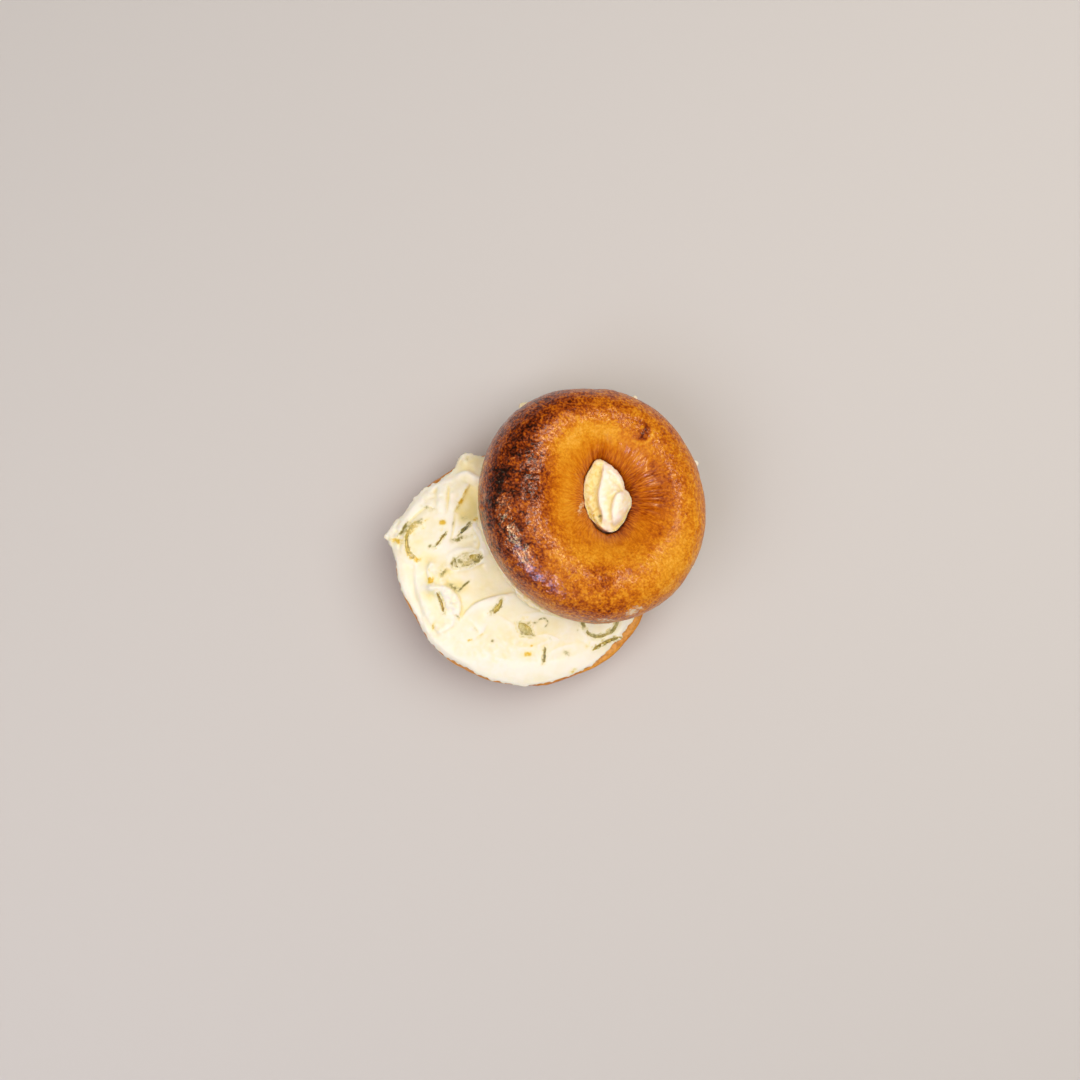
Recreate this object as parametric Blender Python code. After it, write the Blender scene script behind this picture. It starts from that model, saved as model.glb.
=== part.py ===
"""Bagel cut in two, with cream cheese and pickled green pepper on both cut faces.

The bottom half lies flat with its cut face up, under a thick uneven spread. The top half has
slid towards +X and +Y. Its own spread rests on the lower one, pressed thin at the far rim, so
the top half leans down towards that side. Cheese also fills most of the top half's hole.

Lengths are in metres. X is right and Y is up as seen from straight above.
"""

import bmesh
import bpy
from math import atan2, ceil, cos, exp, hypot, pi, radians, sin, tau
from mathutils import Matrix, Vector, noise

MM = 0.001
GAP = 0.3 * MM

# Middle of the bottom half, with the whole bagel centred on the origin
BOTTOM_PLACE = (-9.82 * MM, -12.82 * MM, 0)

# Bottom half of the bread
BOTTOM_LONG = 54.0 * MM
BOTTOM_SHORT = 48.4 * MM
BOTTOM_HEADING = radians(-20)
BOTTOM_HEIGHT = 20.5 * MM
BOTTOM_BELLY = 12.5 * MM
CUT_FALL = 0.05
HOLE_LONG = 13.0 * MM
HOLE_SHORT = 9.5 * MM
HOLE_HEADING = radians(60)
SIDE_ARC = 0.24
HOLE_ARC = 0.2

# Where both cut faces meet the hole and the crust, as shares of the way across the ring
CUT_ACROSS = (0.03, 0.985)
CUT_CORNER = 0.998

# Top half of the bread, measured from the middle of its own cut face
TOP_LONG = 50.0 * MM
TOP_SHORT = 46.2 * MM
TOP_HEADING = radians(-60)
TOP_HEIGHT = 22.0 * MM
TOP_BELLY = 5.5 * MM
TOP_CROWN = 0.54
TOP_THROAT = 5.5 * MM
TOP_BOXY = 0.86
TOP_FUNNEL = 1.2
TOP_SWAY = 0.05
TOP_SWAY_HEADING = radians(200)
TOP_SWELL = 0.7 * MM
TOP_SWELL_SPAN = 16 * MM
TOP_HOLE = Vector((5.3, 3.0)) * MM
TOP_HOLE_LONG = 14.8 * MM
TOP_HOLE_SHORT = 8.8 * MM
TOP_HOLE_HEADING = radians(98)
PINCH_HEADING = radians(102)
PINCH_REACH = 1.3 * MM
PINCH_WIDTH = 1.8 * MM
PINCH_DEPTH = 2.0 * MM
PINCH_SPREAD = radians(13)
PINCH_ACROSS = 0.3

# How the top half lies on the bottom half
SLIDE = Vector((28.3, 25.7)) * MM
SLIDE_HEADING = atan2(SLIDE.y, SLIDE.x)
LEAN = radians(11)
TOP_LIFT = 26.7 * MM

# The two spreads, and the plug of cheese in the top half's hole. The sag's rings are (share
# of the hole, share of the sag's depth), the upper layer's are (share of its outline, share
# of its thickness), and the plug's are (millimetres inside the hole, share of the plug's
# height, share of its lobe).
SPREAD_MIDDLE = 9.2 * MM
SPREAD_EDGE = 4.2 * MM
SPREAD_FALL_POWER = 2.2
MARK_FADE_POWER = 6
EDGE_ROUND_POWER = 14
EDGE_ROUND = 1.6 * MM
SIDE_BULGE = 0.5 * MM
LOWER_INSET = 1.5 * MM
UPPER_INSET = 1.2 * MM
SAG = 2.4 * MM
SAG_RINGS = ((0.9, -0.5), (0.9, 0.1), (0.78, 0.65), (0.45, 1.0))
UPPER_THICK = 3.4 * MM
UPPER_LEVELS = ((0.97, 1.0), (1.0, 0.5), (0.985, 0.0))
PLUG_HEIGHT = 9.6 * MM
PLUG_RINGS = (
    (0.5, 0.0, 0.0),
    (0.5, 0.5, 0.0),
    (0.4, 0.8, 0.3),
    (0.2, 1.0, 0.9),
    (1.2, 1.07, 1.0),
    (3.2, 1.1, 1.0),
    (5.8, 1.12, 1.0),
)
PLUG_LOBE = 4.0 * MM
PLUG_LOBE_PLACE = TOP_HOLE + Vector((3.6, -1.6)) * MM
PLUG_LOBE_HALF = Vector((4.6, 6.5)) * MM

# Random unevenness of the bread's outlines
EDGE_LUMP = 0.4 * MM
BOTTOM_LUMP_SEED = 3.1
TOP_LUMP_SEED = 7.7

# Bumps on the edges of the bread and of the spreads: heading in degrees, half width in
# degrees, reach in millimetres
BOTTOM_EDGE = (
    (203, 12, -1.6),
    (131, 8, -1.1),
    (252, 14, 0.5),
    (298, 12, -1.0),
    (336, 10, 0.6),
)
TOP_EDGE = (
    (92, 13, -0.9),
    (58, 26, 1.3),
    (322, 16, -0.6),
    (290, 12, -0.7),
)
LOWER_EDGE = (
    (165, 7, 5.2),
    (151, 9, 1.5),
    (117, 5, 4.4),
    (225, 7, 0.6),
    (240, 6, -0.5),
    (270, 7, 0.7),
    (326, 17, -3.2),
    (45, 40, -1.0),
)
UPPER_EDGE = (
    (236, 22, 2.6),
    (190, 16, 1.6),
    (122, 5, 2.0),
    (66, 5, 1.8),
    (22, 5, 1.8),
    (-20, 4, 1.6),
    (-40, 4, 1.8),
)
LOBE_EDGE = ((-10, 28, 1.7),)

# Knife marks and lumps on the lower spread, in millimetres from the bottom half's middle, with
# the heading in degrees: x, y, half length, half width, heading, rise
MARKS = (
    (-15.0, -5.5, 12.0, 7.0, 15, -2.4),
    (-20.7, 27.6, 8.0, 5.0, 70, -2.0),
    (-22.4, 12.7, 5.5, 5.0, 40, -1.4),
    (-31.0, 30.0, 11.0, 3.0, 78, 1.1),
    (-17.6, 14.0, 8.0, 2.8, -68, 1.2),
    (-35.0, -7.8, 6.0, 3.0, 5, 2.0),
    (-27.0, -14.0, 6.0, 3.0, -65, 1.1),
    (-11.0, -12.6, 10.0, 2.8, 14, 1.0),
    (-33.6, -0.5, 4.5, 3.0, 70, 1.3),
    (-46.5, 14.0, 8.0, 5.0, 55, 1.2),
    (-23.0, 44.0, 6.0, 4.0, 0, 0.8),
    (4.0, -31.0, 14.0, 5.0, 5, -0.7),
)

# Ring slices of pepper: name, x, y, outer radius and wall in millimetres, then first angle
# and sweep in degrees
PEPPER_RINGS = (
    ("pepper_ring", 32.2, -20.6, 8.3, 2.0, 0, 360),
    ("pepper_curl", -40.2, 11.5, 8.8, 2.0, 98, 140),
)
# Strips of pepper in millimetres: name, x and y of one end and of the other, bend, thickness
PEPPER_STRIPS = (
    ("pepper_stick", -37.1, 8.2, -31.1, 16.0, -0.4, 1.3),
    ("pepper_sliver", -26.1, 14.6, -21.2, 19.3, -0.5, 1.4),
    ("pepper_slit", -35.4, -9.0, -32.2, -18.8, 0.5, 1.8),
    ("pepper_stripe", -8.1, -12.0, -14.3, -18.6, 1.3, 2.6),
    ("pepper_rim_strip", 29.0, -33.9, 41.4, -28.4, 0.9, 2.2),
    ("pepper_short", 9.6, -32.2, 8.8, -39.4, 0.2, 1.8),
)
# Flat pieces of pepper: name, x, y, half length and half width in millimetres, heading in
# degrees, number of corners
PEPPER_PLATES = (
    ("pepper_wedge", 1.4, -24.8, 5.2, 3.5, -38, 4),
    ("pepper_oval", -22.8, 3.8, 6.6, 2.9, 21, 10),
)
PEPPER_HEIGHT = 2.8 * MM
PEPPER_RISE = 0.4 * MM
PEPPER_STEP = 1.8 * MM
PEPPER_WAVE = 0.04
PEPPER_WAVES = 3
PEPPER_TAPER = 0.6
PEPPER_TAPER_POWER = 3
PEPPER_CHAMFER = 0.5 * MM
PEPPER_BOXY = 0.6
POCKET_ABOVE = 6 * MM
UPPER_SIDE = 0.1

# Small flecks of pepper fused to the lower spread: x, y and half length in millimetres
FLECKS = (
    (-32.7, 19.4, 1.3),
    (-38.0, -4.4, 1.3),
    (-38.9, 25.2, 1.7),
    (-17.4, 21.8, 1.4),
    (18.7, -36.0, 2.0),
    (9.4, -22.8, 1.7),
    (-12.1, -30.7, 1.3),
    (2.8, -35.7, 1.4),
    (21.8, -40.6, 1.3),
    (-20.8, -24.6, 1.4),
    (-35.6, -23.7, 1.2),
)
FLECK_RISE = 0.6 * MM
FLECK_WIDTH = 0.6
FLECK_TURN = radians(137.5)

# How finely the shapes are divided
LUMP_SPAN = 2.3
ROUND_STEPS = 64
UPPER_STEPS = 96
ARC_STEPS = 7
SPREAD_CELLS = 36
SAG_STEPS = 24
SLICE_SIDES = 8
SHARP_ANGLE = radians(50)

# Base colour and roughness of each finish
CRUST = ((0.46, 0.17, 0.035, 1), 0.35)
PALE_CRUST = ((0.62, 0.33, 0.11, 1), 0.6)
CHEESE = ((0.92, 0.83, 0.62, 1), 0.45)
PEPPER = ((0.30, 0.28, 0.06, 1), 0.3)


# Outlines

def ellipse_radius(angle, long, short, heading):
    """Distance from an ellipse's centre to its edge in one direction."""
    turn = angle - heading
    return 1 / hypot(cos(turn) / long, sin(turn) / short)


def angle_between(first, second):
    """The smaller angle between two directions."""
    return abs((first - second + pi) % tau - pi)


def edge_bumps(angle, bumps):
    """How far the bumps in a table push an edge out in one direction."""
    return sum(
        reach * MM * exp(-((angle_between(angle, radians(heading)) / radians(half)) ** 2))
        for heading, half, reach in bumps
    )


def lump(angle, seed, size):
    """A smooth uneven value round an outline."""
    return size * noise.noise(Vector((*(on_ray(angle, LUMP_SPAN)), seed)))


def on_ray(angle, radius):
    """The point at a distance from the middle in one direction."""
    return Vector((cos(angle), sin(angle))) * radius


def bottom_radius(angle):
    """Distance from the bottom half's middle to its belly, without small lumps."""
    radius = ellipse_radius(angle, BOTTOM_LONG, BOTTOM_SHORT, BOTTOM_HEADING)
    return radius + edge_bumps(angle, BOTTOM_EDGE)


def top_radius(angle):
    """Distance from the top half's middle to its belly, without small lumps."""
    radius = ellipse_radius(angle, TOP_LONG, TOP_SHORT, TOP_HEADING)
    return radius + edge_bumps(angle, TOP_EDGE)


def bottom_edge(angle):
    """Outline of the bottom half at its belly."""
    return on_ray(angle, bottom_radius(angle) + lump(angle, BOTTOM_LUMP_SEED, EDGE_LUMP))


def bottom_hole(angle):
    """Outline of the bottom half's hole at its narrowest."""
    return on_ray(angle, ellipse_radius(angle, HOLE_LONG, HOLE_SHORT, HOLE_HEADING))


def top_edge(angle):
    """Outline of the top half at its belly."""
    return on_ray(angle, top_radius(angle) + lump(angle, TOP_LUMP_SEED, EDGE_LUMP))


def top_hole(angle, shrink=0.0):
    """Outline of the top half's hole at its narrowest, drawn to a point at the pinch."""
    radius = ellipse_radius(angle, TOP_HOLE_LONG, TOP_HOLE_SHORT, TOP_HOLE_HEADING)
    point = PINCH_REACH * exp(-((angle_between(angle, PINCH_HEADING) / PINCH_SPREAD) ** 2))
    return TOP_HOLE + on_ray(angle, radius + point - shrink)


def lower_edge(angle):
    """Outline of the lower spread, inside the bread but for its bumps."""
    return on_ray(angle, bottom_radius(angle) - LOWER_INSET + edge_bumps(angle, LOWER_EDGE))


def upper_edge(angle):
    """Outline of the upper spread, inside the bread but for its bumps."""
    return on_ray(angle, top_radius(angle) - UPPER_INSET + edge_bumps(angle, UPPER_EDGE))


# Heights

def cut_height(place):
    """Height of the bottom half's cut face, which falls towards the slid side."""
    along = place.x * cos(SLIDE_HEADING) + place.y * sin(SLIDE_HEADING)
    return BOTTOM_HEIGHT - CUT_FALL * along


def lean_axis():
    """The level axis that the top half leans about."""
    return Vector((-sin(SLIDE_HEADING), cos(SLIDE_HEADING), 0))


def underside_height(place):
    """Height of the plane that the upper spread's underside lies in."""
    frame = Matrix.Translation((*SLIDE, TOP_LIFT)) @ Matrix.Rotation(LEAN, 4, lean_axis())
    normal = frame.to_3x3() @ Vector((0, 0, 1))
    point = frame @ Vector((0, 0, -GAP - UPPER_THICK))
    offset = place.xy - point.xy
    return point.z - (normal.x * offset.x + normal.y * offset.y) / normal.z


def mark_rise(place):
    """Rise or fall that the knife marks and lumps give the lower spread at one place."""
    total = 0.0
    for x, y, half_long, half_wide, heading, rise in MARKS:
        offset = place.xy / MM - Vector((x, y))
        turn = radians(heading)
        along = (offset.x * cos(turn) + offset.y * sin(turn)) / half_long
        aside = (offset.y * cos(turn) - offset.x * sin(turn)) / half_wide
        total += rise * MM * exp(-(along**2) - aside**2)
    return total


def spread_top(place):
    """Height of the lower spread's surface, flattened where the upper spread presses on it."""
    share = min(1.0, place.xy.length / lower_edge(atan2(place.y, place.x)).length)
    thick = SPREAD_EDGE + (SPREAD_MIDDLE - SPREAD_EDGE) * (1 - share**SPREAD_FALL_POWER)
    thick += mark_rise(place) * (1 - share**MARK_FADE_POWER)
    thick -= EDGE_ROUND * share**EDGE_ROUND_POWER
    return min(cut_height(place) + GAP + thick, underside_height(place) - GAP)


def plug_relief(place):
    """Rise of the lobe of cheese that stands up on the right of the plug."""
    offset = place - PLUG_LOBE_PLACE
    across, along = offset.x / PLUG_LOBE_HALF.x, offset.y / PLUG_LOBE_HALF.y
    return PLUG_LOBE * exp(-(across**2) - along**2)


# Making objects

def material(name, look):
    """A Principled material from a base colour and a roughness."""
    made = bpy.data.materials.new(name)
    made.use_nodes = True
    shader = made.node_tree.nodes["Principled BSDF"]
    shader.inputs["Base Color"].default_value, shader.inputs["Roughness"].default_value = look
    shader.inputs["Metallic"].default_value = 0.0
    return made


def link(made, parent):
    """Puts an object in the scene under its parent."""
    made.parent = parent
    bpy.context.scene.collection.objects.link(made)
    return made


def finished_mesh(mesh, name):
    """Mesh data from an edited closed mesh, with its faces pointing outwards."""
    bmesh.ops.recalc_face_normals(mesh, faces=mesh.faces)
    if mesh.calc_volume(signed=True) < 0:
        bmesh.ops.reverse_faces(mesh, faces=mesh.faces)
    data = bpy.data.meshes.new(name)
    mesh.to_mesh(data)
    mesh.free()
    return data


def piece(mesh, name, look, parent):
    """Turns an edited mesh into a named object with its own material."""
    data = finished_mesh(mesh, name)
    data.materials.append(material(name, look))
    data.shade_smooth()
    data.set_sharp_from_angle(angle=SHARP_ANGLE)
    return link(bpy.data.objects.new(name, data), parent)


def tool(mesh, name, parent, group):
    """Turns an edited mesh into a hidden guide in a collection that a Boolean uses."""
    made = link(bpy.data.objects.new(name, finished_mesh(mesh, name)), parent)
    made.hide_render = True
    made.display_type = "WIRE"
    group.objects.link(made)


def apply_boolean(target, group, operation):
    """Joins or cuts an object by all that a collection holds, and removes what it held."""
    change = target.modifiers.new(operation, "BOOLEAN")
    change.operation = operation
    change.operand_type = "COLLECTION"
    change.collection = group
    bpy.context.view_layer.update()
    seen = target.evaluated_get(bpy.context.evaluated_depsgraph_get())
    result = bpy.data.meshes.new_from_object(seen)
    target.modifiers.clear()
    old = target.data
    target.data = result
    bpy.data.meshes.remove(old)
    result.name = target.name
    for used in list(group.objects):
        bpy.data.objects.remove(used)


def shaped_tube(rings, closed, steps=ROUND_STEPS):
    """A tube with one loop of points for each ring, a function that turns an angle into a
    place. A closed tube's last ring joins its first, and an open one is capped."""
    mesh = bmesh.new()
    line = [mesh.verts.new((1, 0, number)) for number in range(len(rings))]
    pairs = list(zip(line, line[1:])) + [(line[-1], line[0])] * closed
    edges = [mesh.edges.new(pair) for pair in pairs]
    bmesh.ops.spin(mesh, geom=line + edges, axis=(0, 0, 1), angle=tau, steps=steps, use_merge=True)
    if not closed:
        bmesh.ops.holes_fill(mesh, edges=[edge for edge in mesh.edges if edge.is_boundary])
    for vert in mesh.verts:
        vert.co = rings[round(vert.co.z)](atan2(vert.co.y, vert.co.x))
    return mesh


def arc(centre, radii, start, end, power=1.0):
    """Points on an arc of a section, between two angles in degrees. A power under 1 makes
    the arc boxier."""
    points = []
    for step in range(ARC_STEPS + 1):
        angle = radians(start + (end - start) * step / ARC_STEPS)
        out, up = boxy(cos(angle), power), boxy(sin(angle), power)
        points.append((centre[0] + radii[0] * out, centre[1] + radii[1] * up))
    return points


def boxy(value, power=PEPPER_BOXY):
    """A sine or cosine that stays longer near its ends."""
    return abs(value) ** power * (1 if value > 0 else -1)


# Bread

def bread_ring(section, inner, outer, height):
    """A closed ring of bread. Each point of its section is (across, up), with across 0 at the
    hole's outline and 1 at the outer one, and height gives the final height of a point that
    lies flat at (x, y)."""
    def ring(across, up):
        def place(angle):
            flat = inner(angle).lerp(outer(angle), across)
            return (flat.x, flat.y, height(flat, across, up, angle))

        return place

    return shaped_tube([ring(across, up) for across, up in section], closed=True)


def bottom_half(parent):
    """Flat-based ring with a bulging side, cut across its top."""
    inner, outer = CUT_ACROSS
    section = arc((1 - SIDE_ARC, BOTTOM_BELLY), (SIDE_ARC, BOTTOM_BELLY), -90, 0)
    section += [(CUT_CORNER, (BOTTOM_BELLY + BOTTOM_HEIGHT) / 2)]
    section += [(outer, BOTTOM_HEIGHT), (inner, BOTTOM_HEIGHT)]
    section += arc((HOLE_ARC, BOTTOM_BELLY), (HOLE_ARC, BOTTOM_BELLY), -180, -90)

    def height(flat, across, up, angle):
        return up * cut_height(flat) / BOTTOM_HEIGHT

    bread = bread_ring(section, bottom_hole, bottom_edge, height)
    return piece(bread, "bottom_half", PALE_CRUST, parent)


def top_half(parent):
    """Domed ring that dips into its hole, flat on its cut face."""
    inner, outer = CUT_ACROSS
    dome = (1 - TOP_CROWN, TOP_HEIGHT - TOP_BELLY)
    funnel = (TOP_CROWN, TOP_HEIGHT - TOP_THROAT)
    section = [(inner, 0), (outer, 0), (CUT_CORNER, TOP_BELLY / 2)]
    section += arc((TOP_CROWN, TOP_BELLY), dome, 0, 90, TOP_BOXY)
    section += arc((TOP_CROWN, TOP_THROAT), funnel, 90, 180, TOP_FUNNEL)[1:]
    section += [(0.0, TOP_THROAT / 2)]

    def height(flat, across, up, angle):
        sway = 1 + TOP_SWAY * cos(angle - TOP_SWAY_HEADING)
        swell = TOP_SWELL * noise.noise(flat.to_3d() / TOP_SWELL_SPAN)
        aside = (flat - TOP_HOLE).length * angle_between(angle, PINCH_HEADING) / PINCH_WIDTH
        pinch = PINCH_DEPTH * exp(-(aside**2) - (across / PINCH_ACROSS) ** 2)
        return up * sway + (swell - pinch) * up / TOP_HEIGHT

    return piece(bread_ring(section, top_hole, top_edge, height), "top_half", CRUST, parent)


# Cheese

def lower_spread(parent):
    """Thick spread on the bottom half, with knife marks and an uneven edge."""
    mesh = bmesh.new()
    bmesh.ops.create_grid(mesh, x_segments=SPREAD_CELLS, y_segments=SPREAD_CELLS, size=1)
    for vert in mesh.verts:
        x, y = vert.co.x, vert.co.y
        disc = Vector((x * (1 - y * y / 2) ** 0.5, y * (1 - x * x / 2) ** 0.5))
        vert.co.xy = lower_edge(atan2(disc.y, disc.x)) * disc.length
        vert.co.z = spread_top(vert.co)

    side = extrude_loop(mesh, [edge for edge in mesh.edges if edge.is_boundary])
    for vert in points_of(side):
        vert.co.xy += vert.co.xy.normalized() * SIDE_BULGE
        vert.co.z = (vert.co.z + cut_height(vert.co) + GAP) / 2
    base = extrude_loop(mesh, side)
    for vert in points_of(base):
        vert.co.xy -= vert.co.xy.normalized() * 2 * SIDE_BULGE
        vert.co.z = cut_height(vert.co) + GAP

    bmesh.ops.edgeloop_fill(mesh, edges=base)
    return piece(mesh, "lower_spread", CHEESE, parent)


def sag(parent, group):
    """The rounded underside of the spread where it hangs into the bottom half's hole."""
    def ring(share, depth):
        def place(angle):
            flat = bottom_hole(angle) * share
            return (flat.x, flat.y, cut_height(flat) + GAP - SAG * depth)

        return place

    rings = [ring(*sizes) for sizes in SAG_RINGS]
    tool(shaped_tube(rings, closed=False, steps=SAG_STEPS), "sag", parent, group)


def extrude_loop(mesh, loop):
    """Extrudes a loop of open edges and returns the new loop."""
    made = bmesh.ops.extrude_edge_only(mesh, edges=loop)["geom"]
    fresh = {part for part in made if isinstance(part, bmesh.types.BMVert)}
    return [edge for edge in mesh.edges if edge.is_boundary and set(edge.verts) <= fresh]


def points_of(edges):
    """The points that a loop of edges joins."""
    return {vert for edge in edges for vert in edge.verts}


def upper_spread(parent):
    """Layer on the top half's cut face, with the plug that rises through its hole. The rings
    run from the underside round the edge and up the plug."""
    def layer_ring(scale, depth):
        return lambda angle: (*(upper_edge(angle) * scale), -GAP - UPPER_THICK * depth)

    def plug_ring(inside, rise, relief):
        def place(angle):
            bulge = edge_bumps(angle, LOBE_EDGE) * relief
            flat = top_hole(angle, inside * MM - bulge)
            return (flat.x, flat.y, PLUG_HEIGHT * rise - GAP + plug_relief(flat) * relief)

        return place

    rings = [layer_ring(*level) for level in UPPER_LEVELS]
    rings += [plug_ring(*level) for level in PLUG_RINGS]
    mesh = shaped_tube(rings, closed=False, steps=UPPER_STEPS)
    caps = [face for face in mesh.faces if len(face.verts) == UPPER_STEPS]
    crest = max(caps, key=lambda face: face.calc_center_median().z)
    bmesh.ops.poke(mesh, faces=[crest])
    return piece(mesh, "upper_spread", CHEESE, parent)


# Pepper

def slice_mesh(path, thick, closed, grow, above):
    """A rounded bar of pepper swept along (place, heading, width share) steps that lie on the
    lower spread. Grown by the gap and carried upwards, it is the pocket that holds the bar."""
    half = PEPPER_HEIGHT / 2

    def ring(spot, heading, share):
        aside = Vector((-sin(heading), cos(heading)))

        def place(angle):
            flat = spot + aside * boxy(cos(angle)) * (thick / 2 * share + grow)
            up = boxy(sin(angle)) * (half + grow) + (above if sin(angle) > UPPER_SIDE else 0)
            return (flat.x, flat.y, spread_top(flat) + PEPPER_RISE - half + up)

        return place

    return shaped_tube([ring(*step) for step in path], closed, steps=SLICE_SIDES)


def ring_path(x, y, radius, wall, start, sweep, grow):
    """Steps round the middle of a ring slice's wall, which waves a little."""
    middle = (radius - wall / 2) * MM
    closed = sweep == 360
    extra = 0 if closed else grow / middle
    first, turn = radians(start) - extra, radians(sweep) + 2 * extra
    count = ceil(middle * turn / PEPPER_STEP)
    path = []
    for step in range(count if closed else count + 1):
        angle = first + turn * step / count
        reach = middle * (1 + PEPPER_WAVE * cos(PEPPER_WAVES * angle))
        path.append((Vector((x, y)) * MM + on_ray(angle, reach), angle + pi / 2, 1.0))
    return path


def strip_path(x_start, y_start, x_end, y_end, bend, grow):
    """Steps along a bowed strip that thins towards its ends."""
    start, end = Vector((x_start, y_start)) * MM, Vector((x_end, y_end)) * MM
    along = (end - start).normalized()
    start, end = start - along * grow, end + along * grow
    aside = Vector((-along.y, along.x))
    count = ceil((end - start).length / PEPPER_STEP)
    path = []
    for step in range(count + 1):
        share = step / count
        bow = 4 * bend * MM * share * (1 - share)
        slope = 4 * bend * MM * (1 - 2 * share) / (end - start).length
        width = 1 - PEPPER_TAPER * abs(2 * share - 1) ** PEPPER_TAPER_POWER
        heading = atan2(along.y, along.x) + slope
        path.append((start.lerp(end, share) + aside * bow, heading, width))
    return path


def plate_mesh(x, y, half_long, half_wide, heading, corners, grow, above):
    """A flat piece of pepper with a chamfered rim, lying on the lower spread."""
    mesh = bmesh.new()
    bmesh.ops.create_circle(mesh, segments=corners, radius=1, cap_ends=True)
    bmesh.ops.scale(mesh, vec=(half_long * MM + grow, half_wide * MM + grow, 1), verts=mesh.verts)
    body = bmesh.ops.extrude_face_region(mesh, geom=list(mesh.faces))["geom"]
    top = [part for part in body if isinstance(part, bmesh.types.BMVert)]
    bmesh.ops.translate(mesh, vec=(0, 0, PEPPER_HEIGHT + 2 * grow + above), verts=top)
    if not above:
        rim = [edge for edge in mesh.edges if set(edge.verts) <= set(top)]
        bmesh.ops.bevel(mesh, geom=rim, offset=PEPPER_CHAMFER, segments=1, affect="EDGES")
    turn = Matrix.Rotation(radians(heading), 3, "Z")
    for vert in mesh.verts:
        vert.co = turn @ vert.co + Vector((x, y, 0)) * MM
        vert.co.z += spread_top(vert.co) + PEPPER_RISE - PEPPER_HEIGHT - grow
    return mesh


def pepper_shape(kind, sizes, grow, above):
    """One piece of pepper, or its pocket, from a row of its kind's table."""
    if kind == "ring":
        *_, wall, _, sweep = sizes
        return slice_mesh(ring_path(*sizes, grow), wall * MM, sweep == 360, grow, above)
    if kind == "strip":
        *ends, thick = sizes
        return slice_mesh(strip_path(*ends, grow), thick * MM, False, grow, above)
    return plate_mesh(*sizes, grow, above)


def pepper(parent, pockets):
    """The pieces of pepper as large as a berry, each with the pocket it lies in."""
    tables = {"ring": PEPPER_RINGS, "strip": PEPPER_STRIPS, "plate": PEPPER_PLATES}
    for kind, table in tables.items():
        for name, *sizes in table:
            piece(pepper_shape(kind, sizes, 0, 0), name, PEPPER, parent)
            pocket = pepper_shape(kind, sizes, GAP, POCKET_ABOVE)
            tool(pocket, name + "_pocket", parent, pockets)


def flecks(parent, group):
    """Small flecks that are fused to the lower spread."""
    for number, (x, y, half) in enumerate(FLECKS):
        mesh = bmesh.new()
        bmesh.ops.create_icosphere(mesh, subdivisions=2, radius=1)
        size = Matrix.Diagonal((half * MM, half * FLECK_WIDTH * MM, 2 * FLECK_RISE))
        turn = Matrix.Rotation(number * FLECK_TURN, 3, "Z")
        for vert in mesh.verts:
            vert.co = turn @ size @ vert.co + Vector((x, y, 0)) * MM
        middle = spread_top(Vector((x, y)) * MM)
        bmesh.ops.translate(mesh, vec=(0, 0, middle - FLECK_RISE), verts=mesh.verts)
        tool(mesh, f"fleck_{number}", parent, group)


def collection(name):
    """A collection of guides."""
    made = bpy.data.collections.new(name)
    bpy.context.scene.collection.children.link(made)
    return made


def main():
    """Builds the whole bagel."""
    for old in list(bpy.data.objects):
        bpy.data.objects.remove(old)

    bagel = link(bpy.data.objects.new("bagel", None), None)
    bagel.location = BOTTOM_PLACE
    lean = link(bpy.data.objects.new("leaning_half", None), bagel)
    lean.location = (*SLIDE, TOP_LIFT)
    lean.rotation_mode = "AXIS_ANGLE"
    lean.rotation_axis_angle = (LEAN, *lean_axis())

    bottom_half(bagel)
    top_half(lean)
    upper_spread(lean)
    spread = lower_spread(bagel)
    small, pockets = collection("flecks"), collection("pockets")
    flecks(bagel, small)
    sag(bagel, small)
    pepper(bagel, pockets)
    apply_boolean(spread, small, "UNION")
    apply_boolean(spread, pockets, "DIFFERENCE")


if __name__ == "__main__":
    main()
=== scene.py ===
"""Looks of a bagel with cream cheese and pickled green pepper.

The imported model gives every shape. The bread gets its baked skin, the cheese gets knife marks,
tears and the tint of the pepper in it, and the pepper gets its flesh. Places on the food are in
millimetres, as seen from the camera straight above, from the middle of its view.
"""

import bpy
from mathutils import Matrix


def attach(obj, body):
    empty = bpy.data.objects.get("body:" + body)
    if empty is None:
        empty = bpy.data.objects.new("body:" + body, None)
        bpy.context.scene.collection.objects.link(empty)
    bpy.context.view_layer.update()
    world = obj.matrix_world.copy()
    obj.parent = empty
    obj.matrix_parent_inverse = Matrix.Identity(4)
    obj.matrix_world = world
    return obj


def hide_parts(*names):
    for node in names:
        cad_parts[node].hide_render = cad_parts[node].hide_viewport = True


bl_info = {
    "name": "Bagel with cream cheese",
    "version": (1, 0, 0),
    "blender": (4, 5, 0),
    "location": "3D View > Sidebar > Bagel",
    "description": "Bakes the bread, smears the cheese and lights the bagel",
    "category": "Add Mesh",
}

from functools import partial
from math import atan2, cos, radians, sin

import bmesh
import bpy
import numpy as np
from bpy.props import FloatProperty, FloatVectorProperty, PointerProperty
from bpy.types import NodeSocket, Operator, Panel, PropertyGroup
from mathutils import Matrix, Vector, noise
from mathutils.bvhtree import BVHTree

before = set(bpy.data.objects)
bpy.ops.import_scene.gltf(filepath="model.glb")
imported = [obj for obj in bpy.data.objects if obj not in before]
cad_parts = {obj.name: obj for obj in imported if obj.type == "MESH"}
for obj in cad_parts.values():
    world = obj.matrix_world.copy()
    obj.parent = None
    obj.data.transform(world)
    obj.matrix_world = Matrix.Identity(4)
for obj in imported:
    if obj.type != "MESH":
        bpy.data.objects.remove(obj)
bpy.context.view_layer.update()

MM = 0.001

# The camera straight above: height, point under it, width that it sees, sensor in millimetres
CAMERA_HEIGHT = 750 * MM
CAMERA_AXIS = Vector((-2.32, -0.72)) * MM
VIEW_WIDTH = 464.4 * MM
SENSOR = 36

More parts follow.
